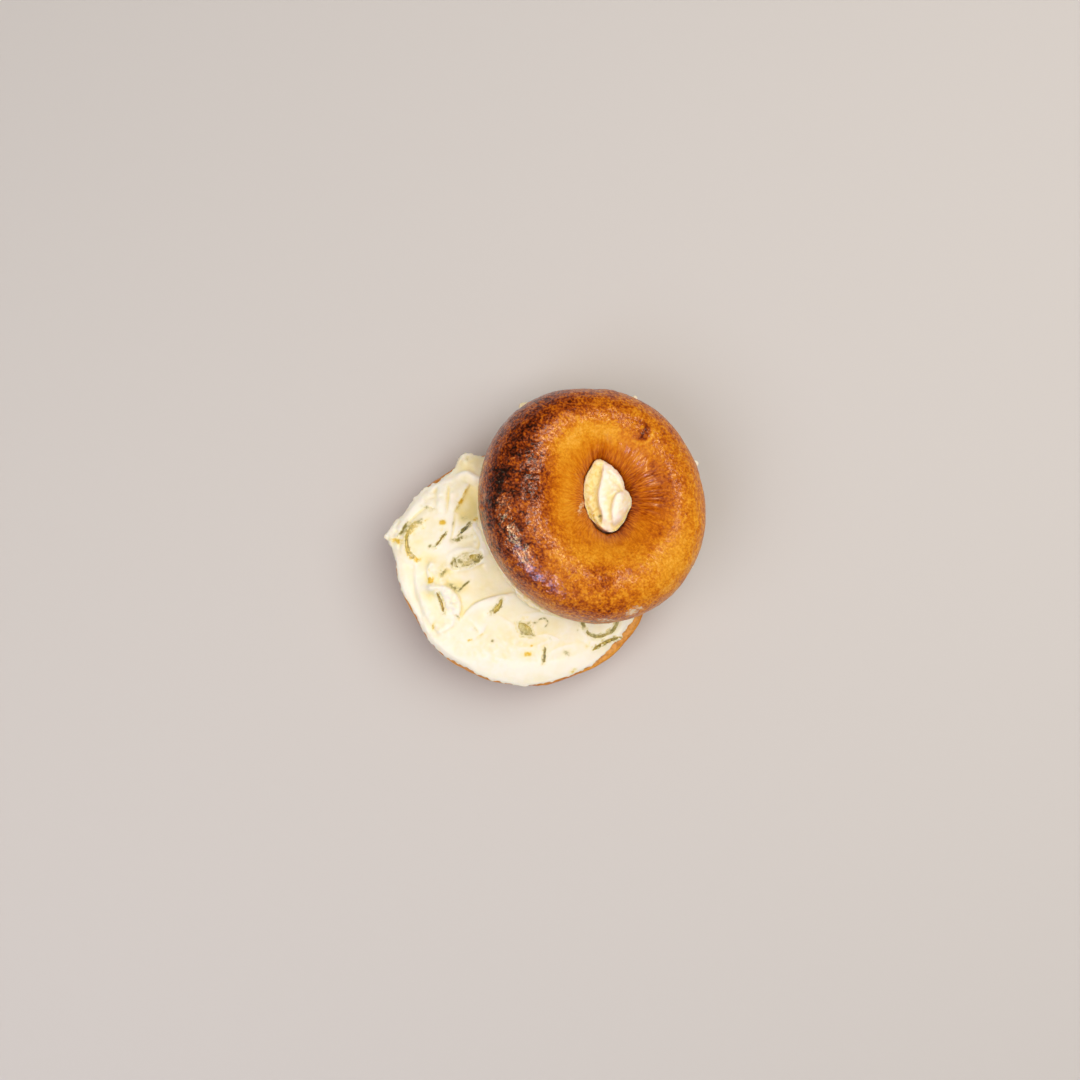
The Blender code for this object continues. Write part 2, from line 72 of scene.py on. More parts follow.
# The leaning half: the middle of its cut face, how it leans, and the middle of its hole
LEAN_ORIGIN = Vector((18.48, 12.88, 26.7)) * MM
SLIDE_HEADING = atan2(25.7, 28.3)
LEAN = radians(11)
UNDERSIDE = -3.7 * MM
LEAN_AXIS = Vector((-sin(SLIDE_HEADING), cos(SLIDE_HEADING), 0))
LEANING = Matrix.Translation(LEAN_ORIGIN) @ Matrix.Rotation(LEAN, 4, LEAN_AXIS)
TOP_HOLE = np.array((5.3, 3))

PEPPER_NODES = sorted(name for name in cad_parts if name.startswith("pepper"))


# Colours and nodes

def linear(hex_colour):
    """A colour written as sRGB hex, as the linear values that Blender works in."""
    channels = []
    for at in (1, 3, 5):
        part = int(hex_colour[at:at + 2], 16) / 255
        channels.append(part / 12.92 if part < 0.04045 else ((part + 0.055) / 1.055) ** 2.4)
    return (*channels, 1)


def add_node(tree, kind, inputs, output=0, stops=(), **settings):
    """Adds a shader node with its settings, constants, links and colour stops, and returns one
    of its outputs."""
    made = tree.nodes.new("ShaderNode" + kind)
    for name, setting in settings.items():
        setattr(made, name, setting)
    for socket, given in inputs.items():
        if isinstance(given, NodeSocket):
            tree.links.new(given, made.inputs[socket])
        else:
            made.inputs[socket].default_value = given
    while stops and len(made.color_ramp.elements) < len(stops):
        made.color_ramp.elements.new(1)
    for number, (place, colour) in enumerate(stops):
        made.color_ramp.elements[number].position = place
        made.color_ramp.elements[number].color = linear(colour)
    return made.outputs[output]


def new_finish(name, constants):
    """A new material with some constants, its way to add a node, and its shader's inputs and
    links."""
    look = bpy.data.materials.new(name)
    look.use_nodes = True
    tree = look.node_tree
    shader = tree.nodes["Principled BSDF"].inputs
    for socket, setting in constants.items():
        shader[socket].default_value = setting
    return look, partial(add_node, tree), shader, tree.links.new


def per_mm(size):
    """The scale of a pattern whose patches are size millimetres across."""
    return 1 / (size * MM)


# Meshes

# Closer points of a CAD copy are merged, and its corners keep this crease
MERGE_DISTANCE = 0.001 * MM
CORNER_CREASE = 0.7
# Noise: how a seed moves it, how fast finer octaves fade, and how much finer each is
SEED_STEPS = (7.31, 3.17, 5.71)
FADE, FINER = 0.9, 2.1


def only(*pieces):
    """Selects these pieces and makes the first one active."""
    bpy.ops.object.select_all(action="DESELECT")
    for piece in pieces:
        piece.select_set(True)
    bpy.context.view_layer.objects.active = pieces[0]


def new_object(name, data):
    """A new object in the scene."""
    made = bpy.data.objects.new(name, data)
    bpy.context.scene.collection.objects.link(made)
    return made


def copy_of(node, name):
    """A merged copy of a CAD node as a new piece."""
    piece = new_object(name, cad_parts[node].data.copy())
    piece.data.materials.clear()
    only(piece)
    bpy.ops.object.mode_set(mode="EDIT")
    bpy.ops.mesh.select_all(action="SELECT")
    bpy.ops.mesh.remove_doubles(threshold=MERGE_DISTANCE)
    bpy.ops.mesh.tris_convert_to_quads(face_threshold=radians(60), shape_threshold=radians(120))
    bpy.ops.object.mode_set(mode="OBJECT")
    return piece


def change(piece, kind, **settings):
    """Adds a modifier to a piece and applies it."""
    only(piece)
    made = piece.modifiers.new(kind, kind)
    for name, setting in settings.items():
        setattr(made, name, setting)
    bpy.ops.object.modifier_apply(modifier=made.name)


def subdivide(piece, levels, sharp=radians(50)):
    """Rounds a faceted copy by subdivision and keeps its sharp corners fairly tight."""
    mesh = bmesh.new()
    mesh.from_mesh(piece.data)
    layers = mesh.edges.layers.float
    crease = layers.get("crease_edge") or layers.new("crease_edge")
    for edge in mesh.edges:
        if len(edge.link_faces) == 2 and edge.calc_face_angle(0) > sharp:
            edge[crease] = CORNER_CREASE
    mesh.to_mesh(piece.data)
    mesh.free()
    change(piece, "SUBSURF", levels=levels, render_levels=levels)


def surface(piece):
    """The places and the normals of a piece's points, as two arrays."""
    found = []
    for kind in ("co", "normal"):
        flat = np.empty(3 * len(piece.data.vertices))
        piece.data.vertices.foreach_get(kind, flat)
        found.append(flat.reshape(-1, 3))
    return found


def move(piece, spots):
    """Puts the points of a piece at new places."""
    piece.data.vertices.foreach_set("co", spots.ravel())
    piece.data.update()


def paint(piece, name, values):
    """Keeps one value, or one vector, for each point of a piece."""
    vector = values.ndim == 2
    layer = piece.data.attributes.new(name, "FLOAT_VECTOR" if vector else "FLOAT", "POINT")
    layer.data.foreach_set("vector" if vector else "value", values.astype(np.float32).ravel())


def wave(spots, size, seed, octaves=1):
    """Smooth noise at each place, about -0.5 to 0.5, with patches of size millimetres."""
    shift = Vector([seed * step for step in SEED_STEPS])
    shifted = (Vector(spot) + shift for spot in spots / (size * MM))
    if octaves == 1:
        return np.array([noise.noise(spot) for spot in shifted]) * 0.6
    return np.array([noise.fractal(spot, FADE, FINER, octaves) for spot in shifted]) * 0.6


def smooth_step(values, low, high):
    """0 under low and 1 over high, with a soft change between."""
    share = np.clip((values - low) / (high - low), 0, 1)
    return share * share * (3 - 2 * share)


def seen(spots):
    """Where the camera above sees each place, in millimetres from the middle of its view."""
    scale = CAMERA_HEIGHT / (CAMERA_HEIGHT - spots[:, 2]) / MM
    return (spots[:, :2] - np.array(CAMERA_AXIS)) * scale[:, None]


def in_leaning_half(spots):
    """The places as measured from the middle of the top half's cut face."""
    turn = np.array(LEANING.to_3x3())
    return (spots - np.array(LEAN_ORIGIN)) @ turn


def blob(plan, x, y, half_long, half_wide, heading=0):
    """A soft oval spot: 1 at its middle and fading outwards."""
    turn = radians(heading)
    offset = plan - np.array((x, y))
    along = (offset[:, 0] * cos(turn) + offset[:, 1] * sin(turn)) / half_long
    aside = (offset[:, 1] * cos(turn) - offset[:, 0] * sin(turn)) / half_wide
    return np.exp(-(along**2) - aside**2)


def blobs(plan, rows):
    """The sum of several soft spots."""
    return sum(strength * blob(plan, x, y, half_long, half_wide, *heading)
               for x, y, half_long, half_wide, strength, *heading in rows)


def curve_through(path, steps=6):
    """More points on a smooth curve through a path."""
    ends = [Vector(path[0]) * 2 - Vector(path[1]), *map(Vector, path)]
    ends.append(Vector(path[-1]) * 2 - Vector(path[-2]))
    spots = []
    for before, start, end, after in zip(ends, ends[1:], ends[2:], ends[3:]):
        for step in range(steps):
            t = step / steps
            bend = (2 * before - 5 * start + 4 * end - after) * t**2
            swing = (3 * start - before - 3 * end + after) * t**3
            spots.append(0.5 * (2 * start + (end - before) * t + bend + swing))
    spots.append(ends[-2])
    return np.array([tuple(spot) for spot in spots])


def beside(plan, path):
    """Distance of each place from a curve, positive on its left, and how far along it is."""
    spots = curve_through(path)
    steps = np.diff(spots, axis=0)
    lengths = np.linalg.norm(steps, axis=1)
    nearest = np.full(len(plan), np.inf)
    side = np.ones(len(plan))
    share = np.zeros(len(plan))
    run = 0
    for start, step, length in zip(spots, steps, lengths):
        along = step / length
        offset = plan - start
        reach = np.clip(offset @ along, 0, length)
        distance = np.linalg.norm(offset - reach[:, None] * along, axis=1)
        closer = distance < nearest
        nearest[closer] = distance[closer]
        side[closer] = np.sign(along[0] * offset[:, 1] - along[1] * offset[:, 0])[closer]
        share[closer] = (run + reach[closer]) / lengths.sum()
        run += length
    return nearest * side, share


def stroke(plan, path, left, right, rise):
    """A ridge or a groove along a path, with its own width on each side and faint ends."""
    distance, share = beside(plan, path)
    width = np.where(distance > 0, left, right)
    taper = 1 - np.abs(2 * share - 1) ** 3
    return rise * np.exp(-((distance / width) ** 2)) * (0.2 + 0.8 * taper)


def bank(plan, path, left, right, edge, reach):
    """A step along a path: a rise on its left and one on its right that both die away."""
    distance, share = beside(plan, path)
    taper = np.clip(1.6 * (1 - np.abs(2 * share - 1) ** 4), 0, 1)
    turn = smooth_step(distance, -edge, edge)
    return (left * turn + right * (1 - turn)) * np.exp(-((distance / reach) ** 2)) * taper


def marks(plan, lumps, strokes, banks=()):
    """How far lumps, strokes and banks raise a surface, in millimetres."""
    rise = blobs(plan, lumps) + sum(stroke(plan, *shape) for shape in strokes)
    return rise + sum(bank(plan, *shape) for shape in banks)


def neighbour_mean(piece, values, rounds):
    """Values averaged over the mesh's edges several times."""
    pairs = np.empty(2 * len(piece.data.edges), int)
    piece.data.edges.foreach_get("vertices", pairs)
    first, second = pairs[0::2], pairs[1::2]
    count = np.bincount(pairs, minlength=len(values))
    for _ in range(rounds):
        total = np.bincount(first, values[second], len(values))
        total += np.bincount(second, values[first], len(values))
        values = (values + total / np.maximum(count, 1)) / 2
    return values


def tree_of(pieces, flattest=2):
    """A tree for finding the nearest place on some pieces' faces, or only on the steep ones
    whose normals rise less than flattest."""
    corners, faces = [], []
    for piece in pieces:
        base = len(corners)
        corners += [vert.co.copy() for vert in piece.data.vertices]
        kept = [face for face in piece.data.polygons if abs(face.normal.z) <= flattest]
        faces += [[base + at for at in face.vertices] for face in kept]
    return BVHTree.FromPolygons(corners, faces)


def dress(piece, look, slot, *nodes):
    """Gives a piece its material and its place in the model."""
    piece.data.materials.clear()
    piece.data.materials.append(look)
    piece.data.shade_smooth()
    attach(piece, "root")
    if nodes:
        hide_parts(*nodes)


# Bread

# In each row of spots: x, y, half length, half width, strength, and heading where it is turned.
# Darker and paler areas of the top crust; two rows are painted shade on the hole's right inner wall
BAKE_SPOTS = (
    (-14.5, 22, 27, 15, 0.31, 80),
    (-16.4, 26.5, 8, 2.8, 0.2, 78),
    (-20, 22, 20, 4, 0.17, 80),
    (-9, 38, 5, 3, 0.03, 55),
    (-10, -5, 18, 11, 0.25, -58),
    (0, -18, 7, 3, 0.12, -45),
    (-4, 48, 18, 12, 0.24, 48),
    (14, 60.5, 20, 7, 0.2, 4),
    (46, 56, 16, 8, 0.05, -42),
    (-1, 28, 7, 16, 0.18),
    (10, -26, 20, 6, 0.08, -24),
    (28, -31, 18, 5, 0.12, 12),
    (26.5, -16, 5, 6, 0.18, 70),
    (50, 20, 14, 7.5, 0.2, 78),
    # Painted shade: these two darken the hole's right inner wall
    (36, 9, 3, 7, 0.24, -30),
    (40, 22, 2.5, 7, 0.12),
    (44.1, 45.6, 3.9, 3, 0.42, 75),
    (48.3, 33, 2.2, 4, 0.14, 30),
    (47.3, 27.9, 2.2, 1.4, 0.1),
    (52, 3, 3.4, 1.8, 0.14),
    (10, 42, 12, 8, -0.22, 35),
    (27, 47, 12, 5, -0.18, -8),
    (11, 20, 4.5, 16, -0.16, 4),
    (24, -6, 16, 6, -0.12),
    (56, -11, 18, 10, -0.18, 45),
    (66, 14, 7, 20, -0.06),
    (44, 48.6, 1.2, 0.9, -0.3),
    (46.6, 33.8, 0.9, 3.2, -0.2, -20),
)
# Arcs of pale skin round the blister: path, widths, change
BAKE_ARCS = (
    (((40, 42.6), (43.6, 41.4), (46.8, 42.6), (48.4, 46), (47.8, 50)), 0.9, 0.9, -0.3),
)
# Thin smears of cheese on the crust; the two at its lower right also stand for a painted highlight
# there
CRUST_SMEARS = (
    (39.6, -30.8, 2.8, 1.4, 1.2, 20),
    (43.4, -29.2, 1.8, 0.7, 1, -25),
    (28.2, -34.4, 5, 0.8, 0.8, -4),
    (17.6, 13.6, 1.1, 3.2, 0.9, -18),
)
# Lumps and dents of the top crust, in millimetres
CRUST_LUMPS = (
    (44, 46, 3.4, 3, 0.5),
    (43, 41.2, 3.6, 1, -0.25),
    (30, 65.4, 3.6, 1.4, 0.7),
    (-25.4, 14, 0.8, 1.6, 0.9),
    (-25, 19, 1.2, 2.6, -0.6),
    (26.5, -16, 4.5, 3.6, 0.5),
    (10.5, -18, 4, 3, 0.35, -40),
    (-10, 8, 4, 6, 0.3, 10),
    (52, -20, 7, 4, 0.35, 30),
    (8, 56, 8, 4, 0.3, 20),
    (26, 51, 4, 1.4, 0.4, -20),
    (46.6, 34, 1, 4, 0.35, -20),
)
# The fold above the hole, and the small folds beside it: path, widths, rise
CRUST_FOLDS = (
    (((26, 34.5), (26.8, 40), (27.6, 46)), 0.9, 1.5, -1),
    (((31, 33.5), (33, 38), (34, 43)), 1, 1, -0.35),
    (((22, 33), (20, 38), (18.5, 43)), 1, 1, -0.25),
    (((19.6, 26), (18, 27.6), (15, 28.6)), 0.6, 0.9, -0.4),
    (((20.2, 14.6), (18.4, 13), (15.6, 12.4)), 0.6, 0.8, -0.5),
)
# Colours of the skin from pale to burnt
BAKE_STOPS = (
    (0, "#f6b548"), (0.18, "#e89c22"), (0.36, "#d47b0c"), (0.52, "#ba5d04"),
    (0.66, "#973f02"), (0.8, "#6a2402"), (1, "#1f0701"),
)
# Where the skin turns down into the hole, from its middle, and how softly, in millimetres
HOLE_RIM, HOLE_SOFTNESS = 15, 9
# Creases and streaks of colour towards the hole: how close they lie, and how little each
# changes on its way
CREASES, CREASE_DRIFT = 11, 0.05
STREAKS, STREAK_DRIFT = 24, 0.4
# The blisters' cells are bent by this much
CELL_SWAY = 1.6 * MM


def ring_coordinates(spots):
    """Distance from the middle of the top half's hole, in millimetres, and the direction."""
    flat = in_leaning_half(spots)[:, :2] / MM - TOP_HOLE
    return np.linalg.norm(flat, axis=1), np.arctan2(flat[:, 1], flat[:, 0])


def round_the_hole(reach, angle, turns, drift):
    """Coordinates in which a pattern of noise is drawn into lines towards the hole."""
    return np.stack((np.cos(angle) * turns, np.sin(angle) * turns, reach * drift), axis=1)


def baked_crust(sizes):
    """Thin glossy skin of a boiled and baked dough: amber where pale and nearly black where
    burnt, mottled by tiny blisters, drawn into streaks towards the hole, and wrinkled so finely
    that its highlights break up into glints."""
    look, add, shader, link = new_finish("baked crust", {
        "Coat Roughness": 0.12, "Specular IOR Level": 0.12})
    spot = add("TexCoord", {}, "Object")
    bake, near_hole, smear = (add("Attribute", {}, "Fac", attribute_name=name)
                              for name in ("bake", "near_hole", "smear"))
    ring = add("Attribute", {}, "Vector", attribute_name="ring")

    fine = add("TexNoise", {
        "Vector": spot, "Scale": per_mm(sizes.grain), "Detail": 1, "Distortion": 0.2})
    bent = add("TexNoise", {"Vector": spot, "Scale": per_mm(2.2), "Detail": 1}, 1)
    bent = add("VectorMath", {0: bent, 1: [CELL_SWAY] * 3, 2: spot}, operation="MULTIPLY_ADD")
    cells = add("TexVoronoi", {"Vector": bent, "Scale": per_mm(1.6)})
    cells = add("MapRange", {"Value": cells, 1: 0.1, 2: 0.75, 3: -0.9, 4: 0.9})
    clump = add("TexNoise", {
        "Vector": spot, "Scale": per_mm(3.6), "Detail": 3, "Roughness": 0.6, "Distortion": 0.3})
    streak = add("TexNoise", {"Vector": ring, "Scale": 1, "Roughness": 0.6})
    fine, clump, lines = (add("MapRange", {"Value": given, 1: 0.36, 2: 0.64, 3: -1})
                          for given in (fine, clump, streak))
    skin = add("Math", {0: cells, 1: 0.5, 2: fine}, operation="MULTIPLY_ADD")
    mottle = add("Mix", {0: near_hole, 2: skin, 3: lines})
    depth = add("MapRange", {
        "Value": bake, 1: 0.15, 2: 0.6, 3: 0.5 * sizes.mottle, 4: sizes.mottle})
    total = add("Math", {0: mottle, 1: depth, 2: bake}, operation="MULTIPLY_ADD")
    away = add("Math", {0: near_hole, 1: -0.8, 2: 0.85}, operation="MULTIPLY_ADD")
    away = add("Math", {0: away, 1: depth}, operation="MULTIPLY")
    total = add("Math", {0: clump, 1: away, 2: total}, operation="MULTIPLY_ADD", use_clamp=True)
    browned = add("ValToRGB", {"Fac": total}, stops=BAKE_STOPS)
    # Cream where cheese is smeared on the skin, and at the lower right a painted highlight too
    smear = add("Math", {0: skin, 1: 0.25, 2: smear}, operation="MULTIPLY_ADD")
    smear = add("MapRange", {"Value": smear, 1: 0.45, 2: 1, 4: 0.8})
    smeared = add("Mix", {0: smear, 6: browned, 7: linear("#f3e2bd")}, 2, data_type="RGBA")
    link(smeared, shader["Base Color"])

    link(add("MapRange", {"Value": bake, 1: 0.2, 2: 0.7, 3: 0.44, 4: 0.34}), shader["Roughness"])
    gloss = add("Math", {0: near_hole, 1: -0.7, 2: bake}, operation="MULTIPLY_ADD")
    link(add("MapRange", {"Value": gloss, 1: 0.1, 2: 0.6, 3: 0.15, 4: 0.8}), shader["Coat Weight"])
    wrinkle = add("TexNoise", {"Vector": spot, "Scale": per_mm(1.1), "Distortion": 1.6})
    wrinkle = add("Math", {0: cells, 1: -0.2, 2: wrinkle}, operation="MULTIPLY_ADD")
    fibre = add("Math", {0: streak, 1: 0.4}, operation="MULTIPLY")
    wrinkle = add("Mix", {0: near_hole, 2: wrinkle, 3: fibre})
    relief = add("Bump", {"Height": wrinkle, "Distance": sizes.wrinkle * MM})
    pores = add("TexNoise", {"Vector": spot, "Scale": per_mm(0.6)})
    link(add("Bump", {"Height": pores, "Distance": 0.05 * MM, "Normal": relief}), shader["Normal"])
    ripple = add("Bump", {"Height": wrinkle, "Distance": 0.3 * sizes.wrinkle * MM})
    link(ripple, shader["Coat Normal"])
    return look


class BagelBread(PropertyGroup):
    """Sizes and tone of the bread's skin."""

    grain: FloatProperty(
        name="Grain", description="Size of the mottle, in millimetres", default=1.0, min=0.2)
    mottle: FloatProperty(
        name="Mottle", description="Strength of the dark mottle", default=0.15, min=0)
    wrinkle: FloatProperty(
        name="Wrinkles", default=0.4, min=0,
        description="Depth of the fine wrinkles, in millimetres")
    tone: FloatProperty(
        name="Tone", description="How brown the top crust is, from 0 to 1", default=0.38,
        min=0, max=1)
    under_tone: FloatProperty(
        name="Under tone", default=0.36, min=0, max=1,
        description="How brown the bottom half is, from 0 to 1")


class BAGEL_OT_top_bread(Operator):
    """Makes the top half's bread with its baked skin"""

    bl_idname = "bagel.top_bread"
    bl_label = "Top bread"

    def execute(self, context):
        sizes = context.scene.bagel_bread
        piece = copy_of("top_half", "bread_top")
        subdivide(piece, 3)
        spots, outward = surface(piece)
        plan = seen(spots)
        local = in_leaning_half(spots)
        reach, angle = ring_coordinates(spots)
        skin = smooth_step(local[:, 2], 1 * MM, 4 * MM)
        near_hole = np.exp(-(((reach - HOLE_RIM) / HOLE_SOFTNESS).clip(0) ** 2))

        rise = marks(plan, CRUST_LUMPS, CRUST_FOLDS)
        rise += 0.5 * wave(spots, 9, 1) + 0.3 * wave(spots, 2.6, 2, 3) * (1 - near_hole)
        creases = round_the_hole(reach, angle, CREASES, CREASE_DRIFT)
        rise += 0.5 * wave(creases * MM, 1, 3, 2) * near_hole
        move(piece, spots + outward * (rise * skin * MM)[:, None])

        bake = sizes.tone + blobs(plan, BAKE_SPOTS) + 0.1 * wave(spots, 7, 5, 2)
        # Painted shade: the skin deep in the hole is made darker
        deep = 1 - smooth_step(local[:, 2], 9 * MM, 17 * MM)
        bake += 0.12 * deep * near_hole
        cut_edge = 1 - smooth_step(local[:, 2], 0.4 * MM, 2.6 * MM)
        bake = bake * (1 - 0.55 * cut_edge)
        bake += sum(stroke(plan, *shape) for shape in BAKE_ARCS)
        paint(piece, "bake", bake)
        paint(piece, "near_hole", near_hole)
        paint(piece, "smear", blobs(plan, CRUST_SMEARS))
        paint(piece, "ring", round_the_hole(reach, angle, STREAKS, STREAK_DRIFT))
        dress(piece, baked_crust(sizes), "crust", "top_half")
        return {"FINISHED"}


def golden_crust(sizes):
    """Satin skin of the bottom half, which the oven floor browned less: golden with a darker
    foot, and open crumb that shows as a coarser grain where the knife cut it."""
    look, add, shader, link = new_finish("golden crust", {})
    spot = add("TexCoord", {}, "Object")
    bake = add("Attribute", {}, "Fac", attribute_name="bake")
    fine = add("TexNoise", {"Vector": spot, "Scale": per_mm(1.1), "Detail": 4, "Roughness": 0.65})
    fine = add("MapRange", {"Value": fine, 1: 0.35, 2: 0.65, 3: -0.08, 4: 0.08})
    clump = add("TexNoise", {"Vector": spot, "Scale": per_mm(6), "Detail": 3})
    clump = add("MapRange", {"Value": clump, 1: 0.35, 2: 0.65, 3: -0.09, 4: 0.09})
    total = add("Math", {0: bake, 1: fine})
    total = add("Math", {0: total, 1: clump}, use_clamp=True)
    skin = add("ValToRGB", {"Fac": total}, stops=BAKE_STOPS)
    crumb = add("TexNoise", {"Vector": spot, "Scale": per_mm(1.6), "Detail": 4})
    crumb = add("ValToRGB", {"Fac": crumb}, stops=((0.3, "#b8701f"), (0.6, "#e2a04c")))
    cut = add("Attribute", {}, "Fac", attribute_name="crumb")
    link(add("Mix", {0: cut, 6: skin, 7: crumb}, 2, data_type="RGBA"), shader["Base Color"])
    link(add("MapRange", {"Value": fine, 1: -0.08, 2: 0.08, 3: 0.42, 4: 0.6}), shader["Roughness"])
    height = add("TexNoise", {
        "Vector": spot, "Scale": per_mm(1.8), "Detail": 4, "Roughness": 0.6})
    relief = add("Bump", {"Height": height, "Distance": 0.35 * MM})
    pores = add("TexVoronoi", {"Vector": spot, "Scale": per_mm(0.9)})
    link(add("Bump", {"Height": pores, "Distance": 0.08 * MM, "Normal": relief}), shader["Normal"])
    return look


class BAGEL_OT_bottom_bread(Operator):
    """Makes the bottom half's bread"""

    bl_idname = "bagel.bottom_bread"
    bl_label = "Bottom bread"

    def execute(self, context):
        sizes = context.scene.bagel_bread
        piece = copy_of("bottom_half", "bread_bottom")
        subdivide(piece, 3)
        spots, outward = surface(piece)
        height = spots[:, 2]
        lifted = smooth_step(height, 0.3 * MM, 3 * MM)
        rise = 0.9 * wave(spots, 12, 11) + 0.35 * wave(spots, 2.8, 12, 3)
        move(piece, spots + outward * (rise * lifted * MM)[:, None])
        crumb = smooth_step(outward[:, 2], 0.75, 0.95) * smooth_step(height, 15 * MM, 17 * MM)
        under = 1 - smooth_step(height, 0.5 * MM, 5 * MM)
        rim = smooth_step(height, 14 * MM, 19 * MM)
        bake = sizes.under_tone + 0.22 * wave(spots, 9, 13, 2) + 0.14 * under - 0.1 * rim
        paint(piece, "bake", bake)
        paint(piece, "crumb", crumb)
        dress(piece, golden_crust(sizes), "pale_crust", "bottom_half")
        return {"FINISHED"}


# Cheese

# Steps of the lower spread, in millimetres: path, rise on its left and on its right, half width
# of the step, reach
LOWER_BANKS = (
    (((-26.6, -7.2), (-25.8, -0.4), (-28.2, 4.3), (-30.2, 8.2)), -0.3, 1.3, 0.35, 3),
    (((-41, -12.6), (-33, -11.8), (-23.6, -9.9)), 0.4, -0.7, 0.5, 3.2),
    (((-42, -19), (-36.8, -22.2), (-34.2, -27.5), (-35, -34)), -0.5, 1, 0.4, 3),
    (((-33.8, -33.2), (-28.4, -27.6), (-20.6, -24.4), (-10.4, -22.6)), -0.4, 0.7, 0.35, 2.8),
    (((-44.8, -21.8), (-42.8, -27.1), (-41, -33)), 0.6, -0.3, 0.35, 2.2),
    (((-37.2, 12), (-33.6, 17), (-30.4, 24.4)), 0.7, -0.8, 0.4, 3),
    (((-57.4, -1.6), (-54.8, -6.6), (-51, -9.2)), -0.5, 0.5, 0.4, 2.4),
    (((-47, -9), (-48.8, -14), (-47.2, -18)), 0.5, -0.3, 0.5, 2.4),
    (((-61, 1.2), (-55.6, 9), (-49, 14.4), (-44.8, 13)), 0.3, -0.4, 0.4, 2),
    (((-5.6, -42.6), (2.2, -40.4), (9, -42.8)), -0.2, 0.4, 0.4, 2.4),
)
# Ridges (rise over 0) and grooves: path, width on the left and on the right of it, rise
LOWER_STROKES = (
    (((-39.1, 24), (-39.6, 17), (-40.4, 11)), 0.6, 0.9, -0.8),
    (((-43.5, 26), (-43, 19), (-43.5, 12)), 2.4, 1.4, 0.7),
    (((-36.6, 11.8), (-37.4, 4.8), (-39, -2)), 0.9, 0.4, -0.7),
    (((-36.5, -30.1), (-37.8, -36.5), (-43.5, -39.9)), 0.6, 2.4, 0.5),
    (((-38, -31.8), (-35.8, -32.6), (-34.4, -35)), 0.35, 0.35, -0.5),
    (((-55, -8.6), (-54.4, -21.5), (-50.1, -32.2), (-43, -43)), 1.2, 2.2, -0.5),
    (((-51.4, -26.5), (-48.2, -39.6), (-40, -48.2), (-29.2, -54.6)), 2, 0.6, 0.35),
    (((1, -50.4), (6.9, -47.1), (11.2, -45.6), (16.5, -44.7)), 0.5, 2, 0.5),
    (((-17.2, -43), (-8.6, -46.4), (0, -45.1), (8.6, -40.4)), 0.6, 2.5, 0.4),
    (((-36.6, 27.4), (-31.8, 29.3), (-27.5, 27.3), (-24.5, 26)), 0.7, 2.2, 0.9),
    (((-47.8, 20), (-43.9, 23.9), (-37.4, 25.6)), 2, 0.6, 0.4),
    (((-61.4, 4.3), (-56.8, 11.2), (-51.6, 17.2), (-46, 22)), 0.8, 2.2, 0.6),
    (((-30.6, -43.4), (-25.8, -40.9), (-23, -36)), 1.6, 0.5, 0.35),
    (((-8.6, -32.6), (2.1, -31.4), (13.4, -33.9)), 0.6, 2.4, 0.5),
    (((17.5, -43), (25.8, -45.4), (33.1, -42), (38, -35)), 1.8, 0.6, 0.5),
    (((-40.6, -8.4), (-36.5, -4.9), (-30.1, -3.9), (-26.5, -4.6)), 0.9, 1.6, 0.4),
    (((-51.8, -15.4), (-48.2, -12), (-46, -8.4)), 2, 0.8, 0.4),
    (((-24, -49.5), (-10, -52.8), (6, -52.6), (20, -48.5)), 0.8, 2.8, 0.3),
    (((-20, -31.5), (-12, -36.5), (-6, -42.5)), 0.6, 3, 0.35),
    (((-31, -33), (-27, -37), (-24, -43)), 2.2, 0.6, 0.35),
)
# Lumps and dents of the lower spread
LOWER_LUMPS = (
    (-45.4, -20.8, 3.2, 1.3, 1.5, 6),
    (-47.6, -20.2, 1.3, 0.9, 0.8, 40),
    (-41.7, -13.6, 1.8, 3, 0.9, -15),
    (-46.4, -11.2, 2.6, 2.4, 0.8),
    (-33.1, 35.2, 3, 2.4, 0.9),
    (-33.1, 38.2, 0.8, 1.6, 0.7),
    (-50, -1.5, 5, 4, 0.5, 40),
    (-28, 17, 4, 5.5, -0.9, 20),
    (-30.5, 12, 3, 2.5, -0.5),
    (-22, -16, 9, 6, -0.8, 25),
    (-39, -26.5, 2.6, 5, 0.5, 15),
    (-26, -6.2, 1.2, 1.6, 0.9, -20),
    (-21, -3, 3, 3, 0.5),
    (28, -36, 4.5, 2.5, 0.4, 10),
)
# Spikes and notches of its torn edge
RIM_TEARS = (
    (-62.4, 9.2, 1.2, 1.2, 1.6),
    (-65, 1.6, 1.2, 1.2, 1.6),
    (-57, 14, 1.5, 1.5, -0.8),
    (-50, 21, 1.5, 1.5, 0.9),
    (-44, 25, 1.2, 1.2, -0.8),
    (-60, -14, 1, 2, 0.8),
    (-56, -28, 1.4, 1.4, -0.9),
    (-46, -42, 1.6, 1.6, 0.7),
    (-30, -54, 1.6, 1.6, -0.9),
    (-8, -61, 1.6, 1.6, 0.7),
    (12, -60, 1.4, 1.4, -0.8),
    (26, -53, 1.4, 1.4, 0.9),
)
# Where the spread is painted yellower: painted shade beside the top half, in its pools and under
# lips, and yellow over pepper; rows under 0 make it paler
BUTTER_SPOTS = (
    (-31, 33, 9, 5, 0.58, 10),
    (-27.5, 17, 4.5, 8, 0.81, -10),
    (-22, -16, 10, 6, 0.22, 25),
    (-47.3, -8.6, 3.6, 3, 0.6),
    (-43, -34.4, 6, 6, 0.22),
    (-35, -19.5, 5, 2.2, 0.74, -30),
    (-48, -24, 4, 2.6, 0.47),
    (-42, -13.5, 2.4, 3.4, 0.81, -15),
    (-52, -1, 5, 4, 0.41, 40),
    (-33, 9.5, 3, 3, 0.68),
    (-6, -40, 16, 6, 0.34, 10),
    (-40, 2, 4, 10, -0.3),
    (-39, -28, 3, 5, -0.4, 20),
    (-26, 4, 5, 4, -0.35),
    (5, -54, 30, 3.5, -0.2, 5),
)
